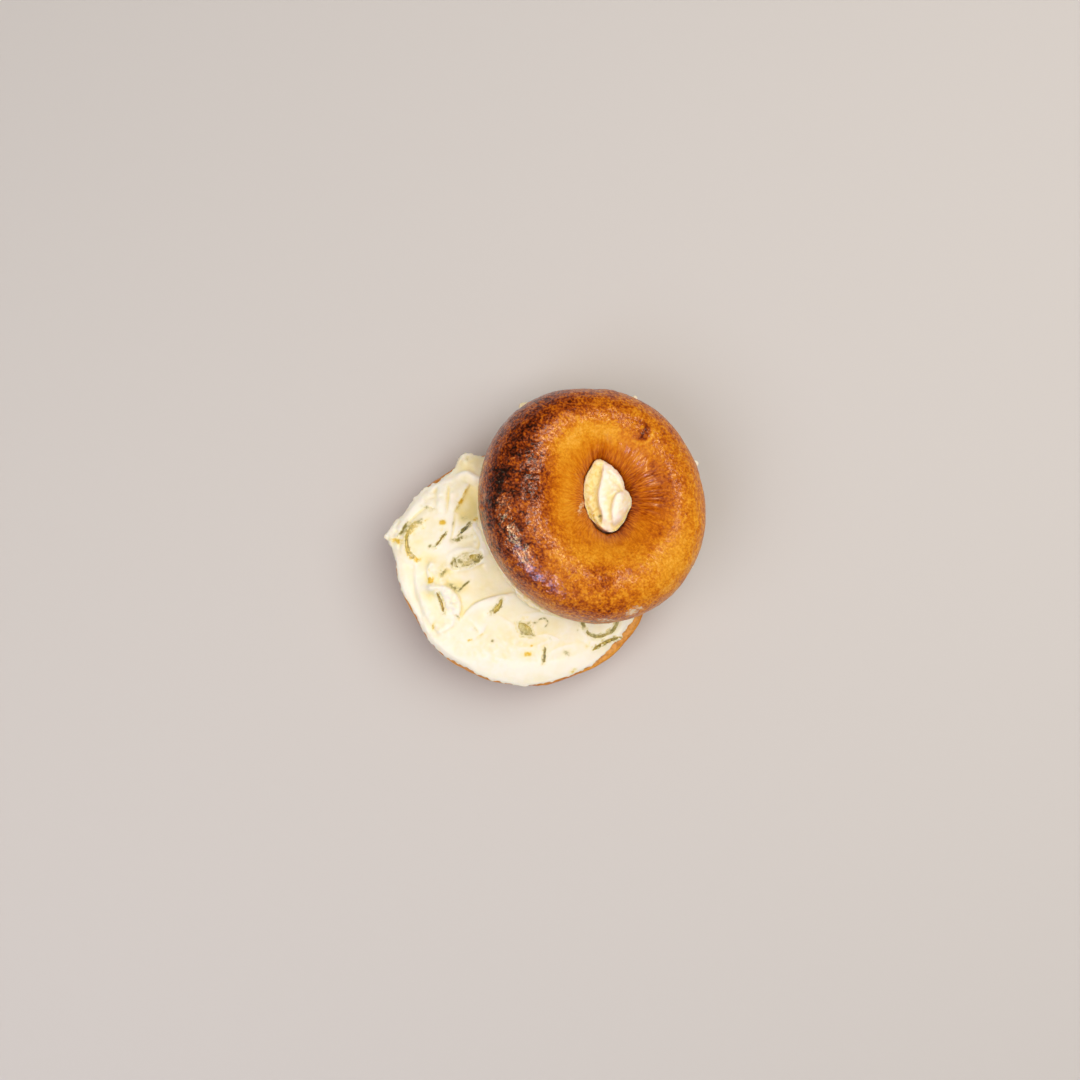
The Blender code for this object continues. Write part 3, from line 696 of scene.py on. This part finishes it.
# Yellow and olive spots of pepper in the spread, a few of them painted shade under lips and ridges
GOLD_SPOTS = (
    (-55.9, 4.6, 3.6, 1.9, 1.2, 50),
    (-61.5, -0.4, 3, 1.2, 1.1, -20),
    (-50, 5.4, 0.8, 0.6, 0.9),
    (-41.9, 7.6, 1.5, 1.3, 1.2, 30),
    (-42.6, 4.6, 0.9, 0.8, 0.6),
    (-27.4, 9, 3, 1.2, 0.9, -15),
    (-34, 12, 2.4, 3, 0.3),
    # Painted shade: olive-yellow under the lip beside a lump
    (-41.9, -13.8, 1.8, 3.2, 0.7, -15),
    (-47.6, -12.5, 0.5, 1, 0.9),
    (-47.1, -17.2, 1.6, 1.3, 1.4, 30),
    (-48.4, -24.1, 3, 1.8, 0.4, -30),
    (-46, -37.3, 0.8, 1.6, 0.9, -20),
    (-30.1, -43, 1.1, 0.8, 1.2, 30),
    (-3.6, -45.4, 0.9, 0.6, 0.9, 20),
    (-5.2, -49, 2, 1, 1.3, 10),
    (14.2, -56.3, 1.5, 0.8, 1.1, 30),
    (-6, -33.6, 2, 1.2, 0.5),
    (-36.8, -26.4, 1, 3.4, 0.4, 20),
    (-27.8, -8, 3, 1.2, 0.6, 30),
)
OLIVE_SPOTS = (
    (-31.8, 34.8, 1.6, 1.2, 0.5),
    (-47.4, 13.7, 2.6, 1, 0.8, -15),
    (-57.5, 5.2, 2.6, 0.8, 0.8, 52),
    (-51.5, 8.7, 1, 0.7, 0.7, 30),
    (-32.7, 9.4, 2.2, 1.4, 0.45, 20),
    (-35.3, 0.4, 3.2, 1.2, 0.9, 15),
    (-37.4, -8.7, 0.8, 2.4, 0.6, -15),
    (-26.5, -8.1, 2.6, 1, 0.7, 30),
    (-47.5, -2.8, 1.2, 0.7, 0.8, 45),
    # Painted shade: the next two are shade under a lip and under a ridge
    (-41.7, -13.6, 1.4, 2.8, 0.7, -15),
    (-36.8, -20.5, 3.4, 1.3, 0.8, -30),
    (-20.6, -43.6, 0.8, 1.2, 0.7, -20),
    (11.6, -48.8, 1.8, 1.1, 0.7, -40),
    (17.2, -36.2, 0.5, 1.1, 0.8, -30),
    (16.2, -38.8, 0.5, 0.7, 0.6),
    (-29.6, 2.4, 2.4, 0.9, 0.4, 15),
)
# Streaks of it: path, half width, strength
GOLD_STREAKS = (
    (((-58.3, -2.2), (-55.9, -6.3), (-53, -8.7), (-50.6, -8.1)), 1.2, 1.1),
    (((-36.8, 13), (-33.8, 17), (-31.2, 22.6)), 0.9, 0.9),
    (((-27.6, -42.4), (-23.6, -39.6)), 0.5, 0.5),
    (((-51, 7.4), (-47, 9.6)), 0.5, 0.5),
    (((19.4, -47.3), (21.5, -43)), 0.9, 0.4),
)
OLIVE_STREAKS = (
    (((-56.5, 8.4), (-59.4, 3.7), (-61.8, 0.7)), 0.6, 1.1),
    (((-36.6, 16.8), (-35.4, 14.6), (-34.4, 12.5)), 0.8, 0.5),
    (((-36.8, 10.1), (-37.7, 5.4)), 0.5, 0.5),
    # A dark crease: partly pepper colour, partly painted shade
    (((-34.8, -21.6), (-32.4, -19.4), (-29.8, -17.2)), 0.5, 1.1),
    (((-37, -32.4), (-35.4, -32.8), (-34.4, -34.4)), 0.4, 0.8),
    (((-28.4, -37.4), (-26.6, -39.8)), 0.4, 0.5),
    (((-1.2, -35), (0.4, -33.8), (2.6, -34), (3.2, -36), (1.6, -38)), 0.45, 0.8),
    (((-4, -36.2), (-0.6, -35)), 0.7, 0.6),
    (((3.2, -41), (5.2, -43.4)), 0.4, 0.4),
    (((-29.8, 8.2), (-32, 5.6), (-34.7, 3.1)), 0.5, 1.2),
)
# Where the knife left the cheese rough
ROUGH_SPOTS = (
    (-43, -17, 6, 6, 1),
    (-38, -27, 4, 6, 0.9, 10),
    (-58, 3, 8, 6, 1, 45),
    (-44, 20, 8, 7, 0.7),
    (-27, 1, 3, 5, 0.8),
    (-33, 36, 5, 3, 0.9),
    (-10, -46, 26, 9, 0.45, 5),
    (-46, -38, 8, 9, 0.4),
)
# Where the cheese lies over the pepper (over 0) or leaves it open
COVER_SPOTS = (
    (-4.6, -38.6, 4, 3, -0.5),
    (28, -39, 5, 3, -0.3, 10),
    (-43, -26.5, 2, 5, -0.5, 15),
    (2, -49, 2, 4, -0.4),
    (-32, 5, 3, 4, -0.4),
    (-43, 1, 4, 4, -0.4),
    (-33, -8.4, 2.4, 1.6, 0.4),
    (-54, 8, 4, 3, 0.4),
)
# The plug in the hole. Steps: path, rise on the left and on the right, half width of the edge,
# reach. Strokes and lumps are as on the lower spread.
PLUG_BANKS = (
    (((27, 33), (26.4, 27.5), (24.9, 21), (25, 16), (26.4, 11), (26.6, 6.5)),
     1.4, -1.3, 0.5, 5),
    (((36.5, 21.5), (32.6, 19.6), (30.8, 14.5), (31, 9), (32, 5.5)), 1.3, -0.5, 0.5, 4.5),
)
PLUG_STROKES = (
    (((22, 27), (22.8, 21), (22.6, 14)), 1, 1, -0.6),
    (((24, 15.6), (25.4, 12.4), (26.6, 9)), 0.5, 1, -0.5),
    (((29, 31), (33, 27.4), (36, 22.6)), 1.6, 0.6, 0.6),
    (((25.8, 7.2), (29, 8), (32.6, 9.6)), 0.6, 1.2, -0.6),
    (((40.8, 17.6), (40.6, 13.4), (38, 9.2), (34.8, 6), (30.5, 3.2)), 1.1, 2, -3),
    (((20.6, 15), (21.8, 9), (25, 4.6)), 1.2, 1, -1.6),
)
PLUG_LUMPS = (
    (22.4, 18.4, 1, 1.8, 1.3, -25),
    (31, 25, 3, 4, 0.4),
    (34.4, 27.2, 2, 0.8, 0.5, 20),
    (29.4, 7.4, 3.4, 1.4, 0.6, 20),
    (36.6, 11.4, 1.4, 1.8, -0.6),
)
# How far its edge bulges or draws back, in millimetres
PLUG_EDGES = (
    (35.8, 22, 1.6, 1.6, -1.4),
    (38.2, 16, 2, 3, 0.4),
    (20.5, 14, 2, 9, 0.9, 8),
    (19.4, 26, 2, 5, 0.7, -10),
    (24.5, 33.5, 2, 2, 0.5),
    (31.5, 34, 2, 2, -0.8),
)
# Bits that hang out from under the top half: place on the rim, and how far they stick out
TORN_BITS = (
    (-7, 57.4, 2.6, 2.2, 1.8, 30),
    (40, 59.2, 2, 3, 3.4),
    (64.6, 31.8, 3, 2.2, 3.8),
    (68, -2.4, 3, 1.8, 2.4),
    (63.8, -10.3, 3, 1.8, 3),
    (-16.8, 46.6, 1.2, 1.2, 1.4),
)
# How far the cheese stands off the slices, and how deep it opens over their middles
SLICE_SKIN = 0.25 * MM
BED_DEPTH = 0.72
# How far from the middle of the top half's cut face the lower spread is free of it and the
# upper one is torn, and the gap between the two
FREE_RIM = (43 * MM, 47 * MM)
TORN_RIM = (41 * MM, 45 * MM)
SPREAD_GAP = 0.1 * MM


def cream_cheese(colours):
    """Full-fat cream cheese smeared by a knife: nearly white on its ridges, with painted shade in
    butter yellow in its hollows, on its sides and where the top half shades it, moist and soft,
    with light going a little way into it, and yellow and olive where pepper lies just under it,
    with a little painted shade in these too."""
    look, add, shader, link = new_finish("cream cheese", {
        "Subsurface Weight": 0.3, "Subsurface Radius": (1, 0.75, 0.4),
        "Subsurface Scale": 1.2 * MM})
    spot = add("TexCoord", {}, "Object")
    hollow, gold, olive = (add("Attribute", {}, "Fac", attribute_name=name)
                           for name in ("hollow", "gold", "olive"))
    cloud = add("TexNoise", {"Vector": spot, "Scale": per_mm(7), "Detail": 3})
    cloud = add("MapRange", {"Value": cloud, 1: 0.3, 2: 0.7, 3: -0.14, 4: 0.14})
    depth = add("Math", {0: hollow, 1: cloud}, use_clamp=True)
    base = add("Mix", {0: depth, 6: (*colours.ridge, 1), 7: (*colours.hollow, 1)}, 2,
               data_type="RGBA")

    speckle = add("TexNoise", {
        "Vector": spot, "Scale": per_mm(1.8), "Detail": 3, "Roughness": 0.55, "Distortion": 0.4})
    speckle = add("MapRange", {"Value": speckle, 1: 0.38, 2: 0.62, 3: -0.6, 4: 0.6})
    for amount, pale, deep in ((gold, "#f8e8a0", "#e4b92e"), (olive, "#ddd19c", "#85782f")):
        cover = add("Math", {0: speckle, 1: amount, 2: amount}, operation="MULTIPLY_ADD")
        flesh = add("MapRange", {"Value": cover, 1: 0.3, 2: 1.2})
        flesh = add("Mix", {0: flesh, 6: linear(pale), 7: linear(deep)}, 2, data_type="RGBA")
        cover = add("MapRange", {"Value": cover, 1: 0.02, 2: 0.8})
        base = add("Mix", {0: cover, 6: base, 7: flesh}, 2, data_type="RGBA")
    link(base, shader["Base Color"])

    gloss = add("TexNoise", {"Vector": spot, "Scale": per_mm(3)})
    link(add("MapRange", {"Value": gloss, 1: 0.3, 2: 0.7, 3: 0.4, 4: 0.55}), shader["Roughness"])
    soft = add("TexNoise", {"Vector": spot, "Scale": per_mm(2.6), "Detail": 3})
    relief = add("Bump", {"Height": soft, "Distance": 0.12 * MM})
    curd = add("TexNoise", {"Vector": spot, "Scale": per_mm(0.7)})
    link(add("Bump", {"Height": curd, "Distance": 0.02 * MM, "Normal": relief}), shader["Normal"])
    return look


class BagelCheese(PropertyGroup):
    """Sizes and colours of the cheese."""

    ridge: FloatVectorProperty(
        name="Ridges", description="Colour of the ridges", subtype="COLOR",
        default=linear("#fdf4e4")[:3], min=0, max=1)
    # The colour of the hollows is painted shade
    hollow: FloatVectorProperty(
        name="Hollows", description="Colour of the hollows", subtype="COLOR",
        default=linear("#f4e2a0")[:3], min=0, max=1)
    voxel: FloatProperty(
        name="Voxel", description="Fineness of the cheese's skin", unit="LENGTH",
        default=0.0005, min=0.0003)
    relief: FloatProperty(
        name="Relief", description="Strength of the knife marks", default=1.0, min=0)


def fused(name, sources, voxel, rounds):
    """One smooth skin over several copies, without their facets and gaps."""
    only(*sources)
    if len(sources) > 1:
        bpy.ops.object.join()
    piece = sources[0]
    piece.name = piece.data.name = name
    change(piece, "REMESH", mode="VOXEL", voxel_size=voxel)
    change(piece, "SMOOTH", factor=0.5, iterations=rounds)
    return piece


def streaks(plan, rows):
    """The sum of several soft streaks."""
    return sum(stroke(plan, path, half, half, strength) for path, half, strength in rows)


def paint_hollows(piece, up, base):
    """Paints shade into the hollows, where the surface lies under its surroundings, and onto faces
    that don't face up.
    """
    height = surface(piece)[0][:, 2]
    fine = (neighbour_mean(piece, height, 12) - height) / (0.35 * MM)
    broad = (neighbour_mean(piece, height, 90) - height) / (1.1 * MM)
    open_up = smooth_step(up, 0, 0.5)
    hollow = np.clip(base + 0.38 * fine + 0.45 * broad, 0, 1) * open_up + 0.4 * (1 - open_up)
    paint(piece, "hollow", hollow)


class BAGEL_OT_lower_cheese(Operator):
    """Makes the lower spread with its knife marks, closed round the pepper in it"""

    bl_idname = "bagel.lower_cheese"
    bl_label = "Lower cheese"

    def execute(self, context):
        colours = context.scene.bagel_cheese
        slices = [copy_of(name, name + "_under") for name in PEPPER_NODES]
        near, sides = tree_of(slices), tree_of(slices, 0.6)
        for piece in slices:
            spots, outward = surface(piece)
            move(piece, spots + outward * SLICE_SKIN)
        sources = [copy_of("lower_spread", "spread"), *slices]
        piece = fused("cheese_lower", sources, colours.voxel, 14)
        spots, outward = surface(piece)
        plan = seen(spots)
        up = smooth_step(outward[:, 2], 0.15, 0.6)
        found = [near.find_nearest(Vector(spot)) for spot in spots]
        gap = np.array([hit[3] for hit in found]) / MM
        over = np.array([hit[1].z for hit in found]) * (gap < 0.7)
        rim = np.array([sides.find_nearest(Vector(spot))[3] for spot in spots]) / MM
        rise = marks(plan, LOWER_LUMPS, LOWER_STROKES, LOWER_BANKS)
        rise += 0.5 * wave(spots, 7, 21) + 0.14 * wave(spots, 2.4, 22, 2)
        folds = 1.5 * (0.12 - np.abs(wave(spots, 4, 29, 2))) + 0.8 * wave(spots, 2.2, 27, 2)
        rise += folds * blobs(plan, ROUGH_SPOTS).clip(0, 1)
        rise *= colours.relief * smooth_step(gap, 0.2, 2)

        cover = smooth_step(wave(spots, 4, 23, 2) + blobs(plan, COVER_SPOTS), 0.06, 0.14)
        rise += 0.25 * np.exp(-((gap / 2.2) ** 2))
        on_slice = smooth_step(over, 0.5, 0.8)
        bare = on_slice * smooth_step(rim + 0.3 * wave(spots, 1.6, 28), 0.16, 0.4)
        rise -= BED_DEPTH * bare * (1 - cover)

        lifted = spots + np.array((0, 0, MM)) * (rise * up)[:, None]
        ragged = 1.4 * wave(spots, 2.2, 24, 3) + 0.5 * wave(spots, 6, 25)
        ragged = (ragged + blobs(plan, RIM_TEARS)) * (1 - up)
        inside = smooth_step(-outward[:, 2], 0.4, 0.8)
        lifted += outward * (ragged * (1 - inside) * MM)[:, None]
        local = in_leaning_half(lifted)
        under_top = 1 - smooth_step(np.linalg.norm(local[:, :2], axis=1), *FREE_RIM)
        excess = (local[:, 2] - UNDERSIDE + SPREAD_GAP).clip(0) * under_top
        lifted[:, 2] -= excess
        move(piece, lifted)

        paint_hollows(piece, up, 0.2 + blobs(plan, BUTTER_SPOTS))
        tint = (0.5 * np.exp(-((gap / 0.8) ** 2)) + on_slice) * (0.6 + wave(spots, 3, 26))
        for name, share, dots, lines in (("gold", 0.4, GOLD_SPOTS, GOLD_STREAKS),
                                         ("olive", 0.5, OLIVE_SPOTS, OLIVE_STREAKS)):
            paint(piece, name, (blobs(plan, dots) + streaks(plan, lines) + share * tint) * up)
        dress(piece, cream_cheese(colours), "cheese", "lower_spread")
        return {"FINISHED"}


class BAGEL_OT_upper_cheese(Operator):
    """Makes the upper spread with its plug in the hole and its torn edge"""

    bl_idname = "bagel.upper_cheese"
    bl_label = "Upper cheese"

    def execute(self, context):
        colours = context.scene.bagel_cheese
        sources = [copy_of("upper_spread", "spread")]
        piece = fused("cheese_upper", sources, colours.voxel * 1.1, 8)
        spots, outward = surface(piece)
        plan = seen(spots)
        local = in_leaning_half(spots)
        plug = smooth_step(local[:, 2], 4 * MM, 7 * MM) * smooth_step(outward[:, 2], 0.1, 0.5)
        rise = marks(plan, PLUG_LUMPS, PLUG_STROKES, PLUG_BANKS)
        rise += 0.6 * wave(spots, 3.5, 31) + 0.6 * wave(spots, 1.7, 32, 3)
        moved = spots + np.array((0, 0, MM)) * (rise * plug)[:, None]

        radius = np.linalg.norm(local[:, :2], axis=1)
        rim = smooth_step(radius, *TORN_RIM)
        ragged = 0.9 * wave(spots, 3, 33, 3) + 0.9 * wave(spots, 9, 34).clip(-0.2)
        moved += outward * (ragged * rim * MM)[:, None]
        away = local * (1, 1, 0) / radius[:, None] @ np.array(LEANING.to_3x3()).T
        moved += away * (blobs(plan, TORN_BITS) * rim * MM)[:, None]
        flank = smooth_step(local[:, 2], 3 * MM, 5 * MM)
        flank *= 1 - smooth_step(outward[:, 2], 0.5, 0.9)
        edge = blobs(plan, PLUG_EDGES) + 0.6 * wave(spots, 2.4, 35, 2)
        moved += outward * (1, 1, 0) * (edge * flank * MM)[:, None]
        move(piece, moved)
        # Painted shade: the whole upper spread is half shaded, and the plug's part left of its
        # first step fully, with a brownish-gold shade and a small olive dot at its lower left
        low = 1 - smooth_step(beside(plan, PLUG_BANKS[0][0])[0], -0.5, 0.5)
        paint_hollows(piece, smooth_step(outward[:, 2], 0, 0.4), 0.5 + 0.5 * low)
        paint(piece, "gold", (0.45 * low + 0.4 * blob(plan, 23.4, 8.6, 1.6, 4.6, 20)) * plug)
        paint(piece, "olive", 1.3 * blob(plan, 25.8, 9.9, 0.8, 0.8) * plug)
        dress(piece, cream_cheese(colours), "cheese", "upper_spread")
        return {"FINISHED"}


# Pepper

# How yellow, how dark and how far covered by cheese each slice of pepper is, from 0 to 1
PEPPER_TONES = {
    "curl": (0.9, 0.3, 0.3),
    "oval": (0.5, 0.35, 0.4),
    "rim_strip": (0.6, 0.4, 0.2),
    "ring": (0.2, 0.3, 0.32),
    "short": (0.4, 0.45, 0.2),
    "slit": (0.9, 0.42, 0.15),
    "sliver": (0, 0.6, 0.3),
    "stick": (0.5, 0.42, 0.2),
    "stripe": (0.8, 0.3, 0.3),
    "wedge": (0.45, 0.22, 0.3),
}
# The slices lie this much deeper than their nodes, under the cheese's skin
SLICE_SINK = np.array((0, 0, -0.3 * MM))


def pickled_pepper(sizes):
    """Pickled pepper, cut thin: wet olive flesh that lets light through, darker and greener
    along its skin and its cut edges, speckled, with a film of cheese clinging to it."""
    look, add, shader, link = new_finish("pickled pepper", {
        "Roughness": 0.32, "Coat Weight": 0.2, "Coat Roughness": 0.15, "Subsurface Weight": 0.25,
        "Subsurface Radius": (0.8, 0.8, 0.3), "Subsurface Scale": 1.2 * MM})
    spot = add("TexCoord", {}, "Object")
    yellow, dark, film = (add("Attribute", {}, "Fac", attribute_name=name)
                          for name in ("yellow", "dark", "film"))
    speckle = add("TexNoise", {
        "Vector": spot, "Scale": per_mm(0.8), "Detail": 4, "Roughness": 0.7, "Distortion": 1})
    patch = add("TexNoise", {"Vector": spot, "Scale": per_mm(2.8)})
    deep = add("MapRange", {"Value": speckle, 1: 0.36, 2: 0.66, 3: 0.35, 4: -0.25})
    deep = add("Math", {0: deep, 1: dark}, use_clamp=True)
    green = add("ValToRGB", {"Fac": deep},
                stops=((0, "#d6cfa6"), (0.4, "#b3a970"), (0.75, "#7b7340"), (1, "#3c4428")))
    golden = add("ValToRGB", {"Fac": deep},
                 stops=((0, "#eedd90"), (0.4, "#d2b340"), (0.75, "#96781a"), (1, "#54420c")))
    body = add("Mix", {0: yellow, 6: green, 7: golden}, 2, data_type="RGBA")
    film = add("Math", {0: patch, 1: film})
    film = add("MapRange", {"Value": film, 1: 0.85, 2: 1.2, 4: sizes.film})
    coated = add("Mix", {0: film, 6: body, 7: linear("#f6e7c0")}, 2, data_type="RGBA")
    link(coated, shader["Base Color"])
    link(add("Bump", {"Height": speckle, "Distance": 0.06 * MM}), shader["Normal"])
    return look


class BagelPepper(PropertyGroup):
    """Looks of the pepper."""

    film: FloatProperty(
        name="Film", description="How much cheese clings to the pepper", default=0.92, min=0, max=1)
    swell: FloatProperty(
        name="Swell", description="How far the pepper grows into its bed", unit="LENGTH",
        default=0.0003, min=0)


class BAGEL_OT_pepper(Operator):
    """Makes the slices of pepper"""

    bl_idname = "bagel.pepper"
    bl_label = "Pepper"

    def execute(self, context):
        sizes = context.scene.bagel_pepper
        look = pickled_pepper(sizes)
        for seed, name in enumerate(PEPPER_NODES):
            piece = copy_of(name, name.replace("pepper", "slice"))
            subdivide(piece, 3, radians(70))
            spots, outward = surface(piece)
            side = spots[np.abs(outward[:, 2]) < 0.4]
            steps = (side[:, :2] - spot for spot in spots[:, :2])
            rim = np.array([np.linalg.norm(step, axis=1).min() for step in steps])
            uneven = 0.2 * wave(spots, 1.8, 41 + seed, 2)
            move(piece, spots + outward * (sizes.swell + uneven * MM)[:, None] + SLICE_SINK)
            yellow, dark, film = PEPPER_TONES[name.removeprefix("pepper_")]
            skin = np.exp(-((rim / MM - 0.4) / 0.4) ** 2)
            paint(piece, "yellow", yellow + wave(spots, 3, 51 + seed))
            paint(piece, "dark", dark + 0.2 * skin + 0.3 * wave(spots, 2, 61 + seed, 2))
            paint(piece, "film", film + 0.25 * (1 - smooth_step(rim / MM, 0, 0.4)))
            dress(piece, look, "pepper", name)
        return {"FINISHED"}


# Stage

# Broad lights that don't show as glints: name, place, colour
SOFTBOXES = (
    ("key", (0.47, 0.19, 0.97), "#fffaf2"),
    ("fill", (-0.55, -0.35, 0.95), "#fbfaff"),
)
SOFTBOX_SIZE = (1, 1)
# Small bright windows that only show as glints: name, place, colour, share of the power
WINDOWS = (
    ("window_warm", (-0.706, -0.216, 0.946), "#ffe2b4", 1),
    ("window_cool", (-0.555, -0.661, 0.834), "#c2caff", 0.6),
    ("window_high", (0.36, 0.3, 1.1), "#fff0da", 0.35),
)
WINDOW_SIZE = (0.3, 0.22)
LIGHT_AIM = Vector((0, 0, 30 * MM))
FLOOR_SIZE = 6


class BagelStage(PropertyGroup):
    """Floor and light."""

    floor: FloatVectorProperty(
        name="Floor", description="Colour of the floor", subtype="COLOR",
        default=linear("#cbc6c3")[:3], min=0, max=1)
    key: FloatProperty(
        name="Key light", description="Power of the broad light", unit="POWER", default=9.4, min=0)
    fill: FloatProperty(
        name="Fill light", description="Power of the light opposite", unit="POWER",
        default=5.5, min=0)
    window: FloatProperty(
        name="Window", description="Power of the small window lights", unit="POWER",
        default=9.0, min=0)
    sky: FloatProperty(
        name="Sky", description="Strength of the light from all round", default=0.32, min=0)


def area_light(name, place, size, power, colour):
    """A rectangular light that points at the food, and its object."""
    data = bpy.data.lights.new(name, "AREA")
    data.shape = "RECTANGLE"
    data.size, data.size_y = size
    data.energy = power
    data.color = linear(colour)[:3]
    lamp = new_object(name, data)
    lamp.location = place
    lamp.rotation_euler = (LIGHT_AIM - Vector(place)).to_track_quat("-Z", "Y").to_euler()
    return lamp


class BAGEL_OT_stage(Operator):
    """Sets the floor, the lights and the camera straight above"""

    bl_idname = "bagel.stage"
    bl_label = "Stage"

    def execute(self, context):
        sizes = context.scene.bagel_stage
        bpy.ops.object.select_all(action="DESELECT")
        bpy.ops.mesh.primitive_plane_add(size=FLOOR_SIZE)
        floor = context.object
        floor.name = "floor"
        finish = {"Base Color": (*sizes.floor, 1), "Roughness": 0.7}
        floor.data.materials.append(new_finish("pale floor", finish)[0])

        for name, place, colour in SOFTBOXES:
            lamp = area_light(name, place, SOFTBOX_SIZE, getattr(sizes, name), colour)
            lamp.visible_glossy = False
        for name, place, colour, share in WINDOWS:
            lamp = area_light(name, place, WINDOW_SIZE, share * sizes.window, colour)
            lamp.visible_diffuse = False
        world = bpy.data.worlds.new("soft studio")
        context.scene.world = world
        world.use_nodes = True
        back = world.node_tree.nodes["Background"]
        back.inputs["Color"].default_value = linear("#f6f1ec")
        back.inputs["Strength"].default_value = sizes.sky
        world.cycles_visibility.glossy = False
        context.scene.view_settings.view_transform = "Standard"

        data = bpy.data.cameras.new("camera")
        data.sensor_width = SENSOR
        data.lens = SENSOR * CAMERA_HEIGHT / VIEW_WIDTH
        data.clip_start = 50 * MM
        camera = new_object("camera", data)
        camera.location = (*CAMERA_AXIS, CAMERA_HEIGHT)
        context.scene.camera = camera
        return {"FINISHED"}


class BAGEL_PT_panel(Panel):
    """Lists the pieces of the bagel"""

    bl_label = "Bagel"
    bl_idname = "BAGEL_PT_panel"
    bl_space_type = "VIEW_3D"
    bl_region_type = "UI"
    bl_category = "Bagel"

    def draw(self, context):
        for name, group in GROUPS:
            for prop in group.__annotations__:
                self.layout.prop(getattr(context.scene, name), prop)
        for operator in OPERATORS:
            self.layout.operator(operator.bl_idname)


GROUPS = (
    ("bagel_bread", BagelBread),
    ("bagel_cheese", BagelCheese),
    ("bagel_pepper", BagelPepper),
    ("bagel_stage", BagelStage),
)
OPERATORS = (
    BAGEL_OT_top_bread,
    BAGEL_OT_bottom_bread,
    BAGEL_OT_lower_cheese,
    BAGEL_OT_upper_cheese,
    BAGEL_OT_pepper,
    BAGEL_OT_stage,
)


def register():
    """Makes the settings, the operators and the panel known to Blender."""
    for name, group in GROUPS:
        bpy.utils.register_class(group)
        setattr(bpy.types.Scene, name, PointerProperty(type=group))
    for made in (*OPERATORS, BAGEL_PT_panel):
        bpy.utils.register_class(made)


def unregister():
    """Takes them away again."""
    for made in (*OPERATORS, BAGEL_PT_panel):
        bpy.utils.unregister_class(made)
    for name, group in GROUPS:
        delattr(bpy.types.Scene, name)
        bpy.utils.unregister_class(group)


def main():
    """Makes all pieces and the stage."""
    register()
    bpy.ops.bagel.top_bread()
    bpy.ops.bagel.bottom_bread()
    bpy.ops.bagel.lower_cheese()
    bpy.ops.bagel.upper_cheese()
    bpy.ops.bagel.pepper()
    bpy.ops.bagel.stage()


if __name__ == "__main__":
    main()
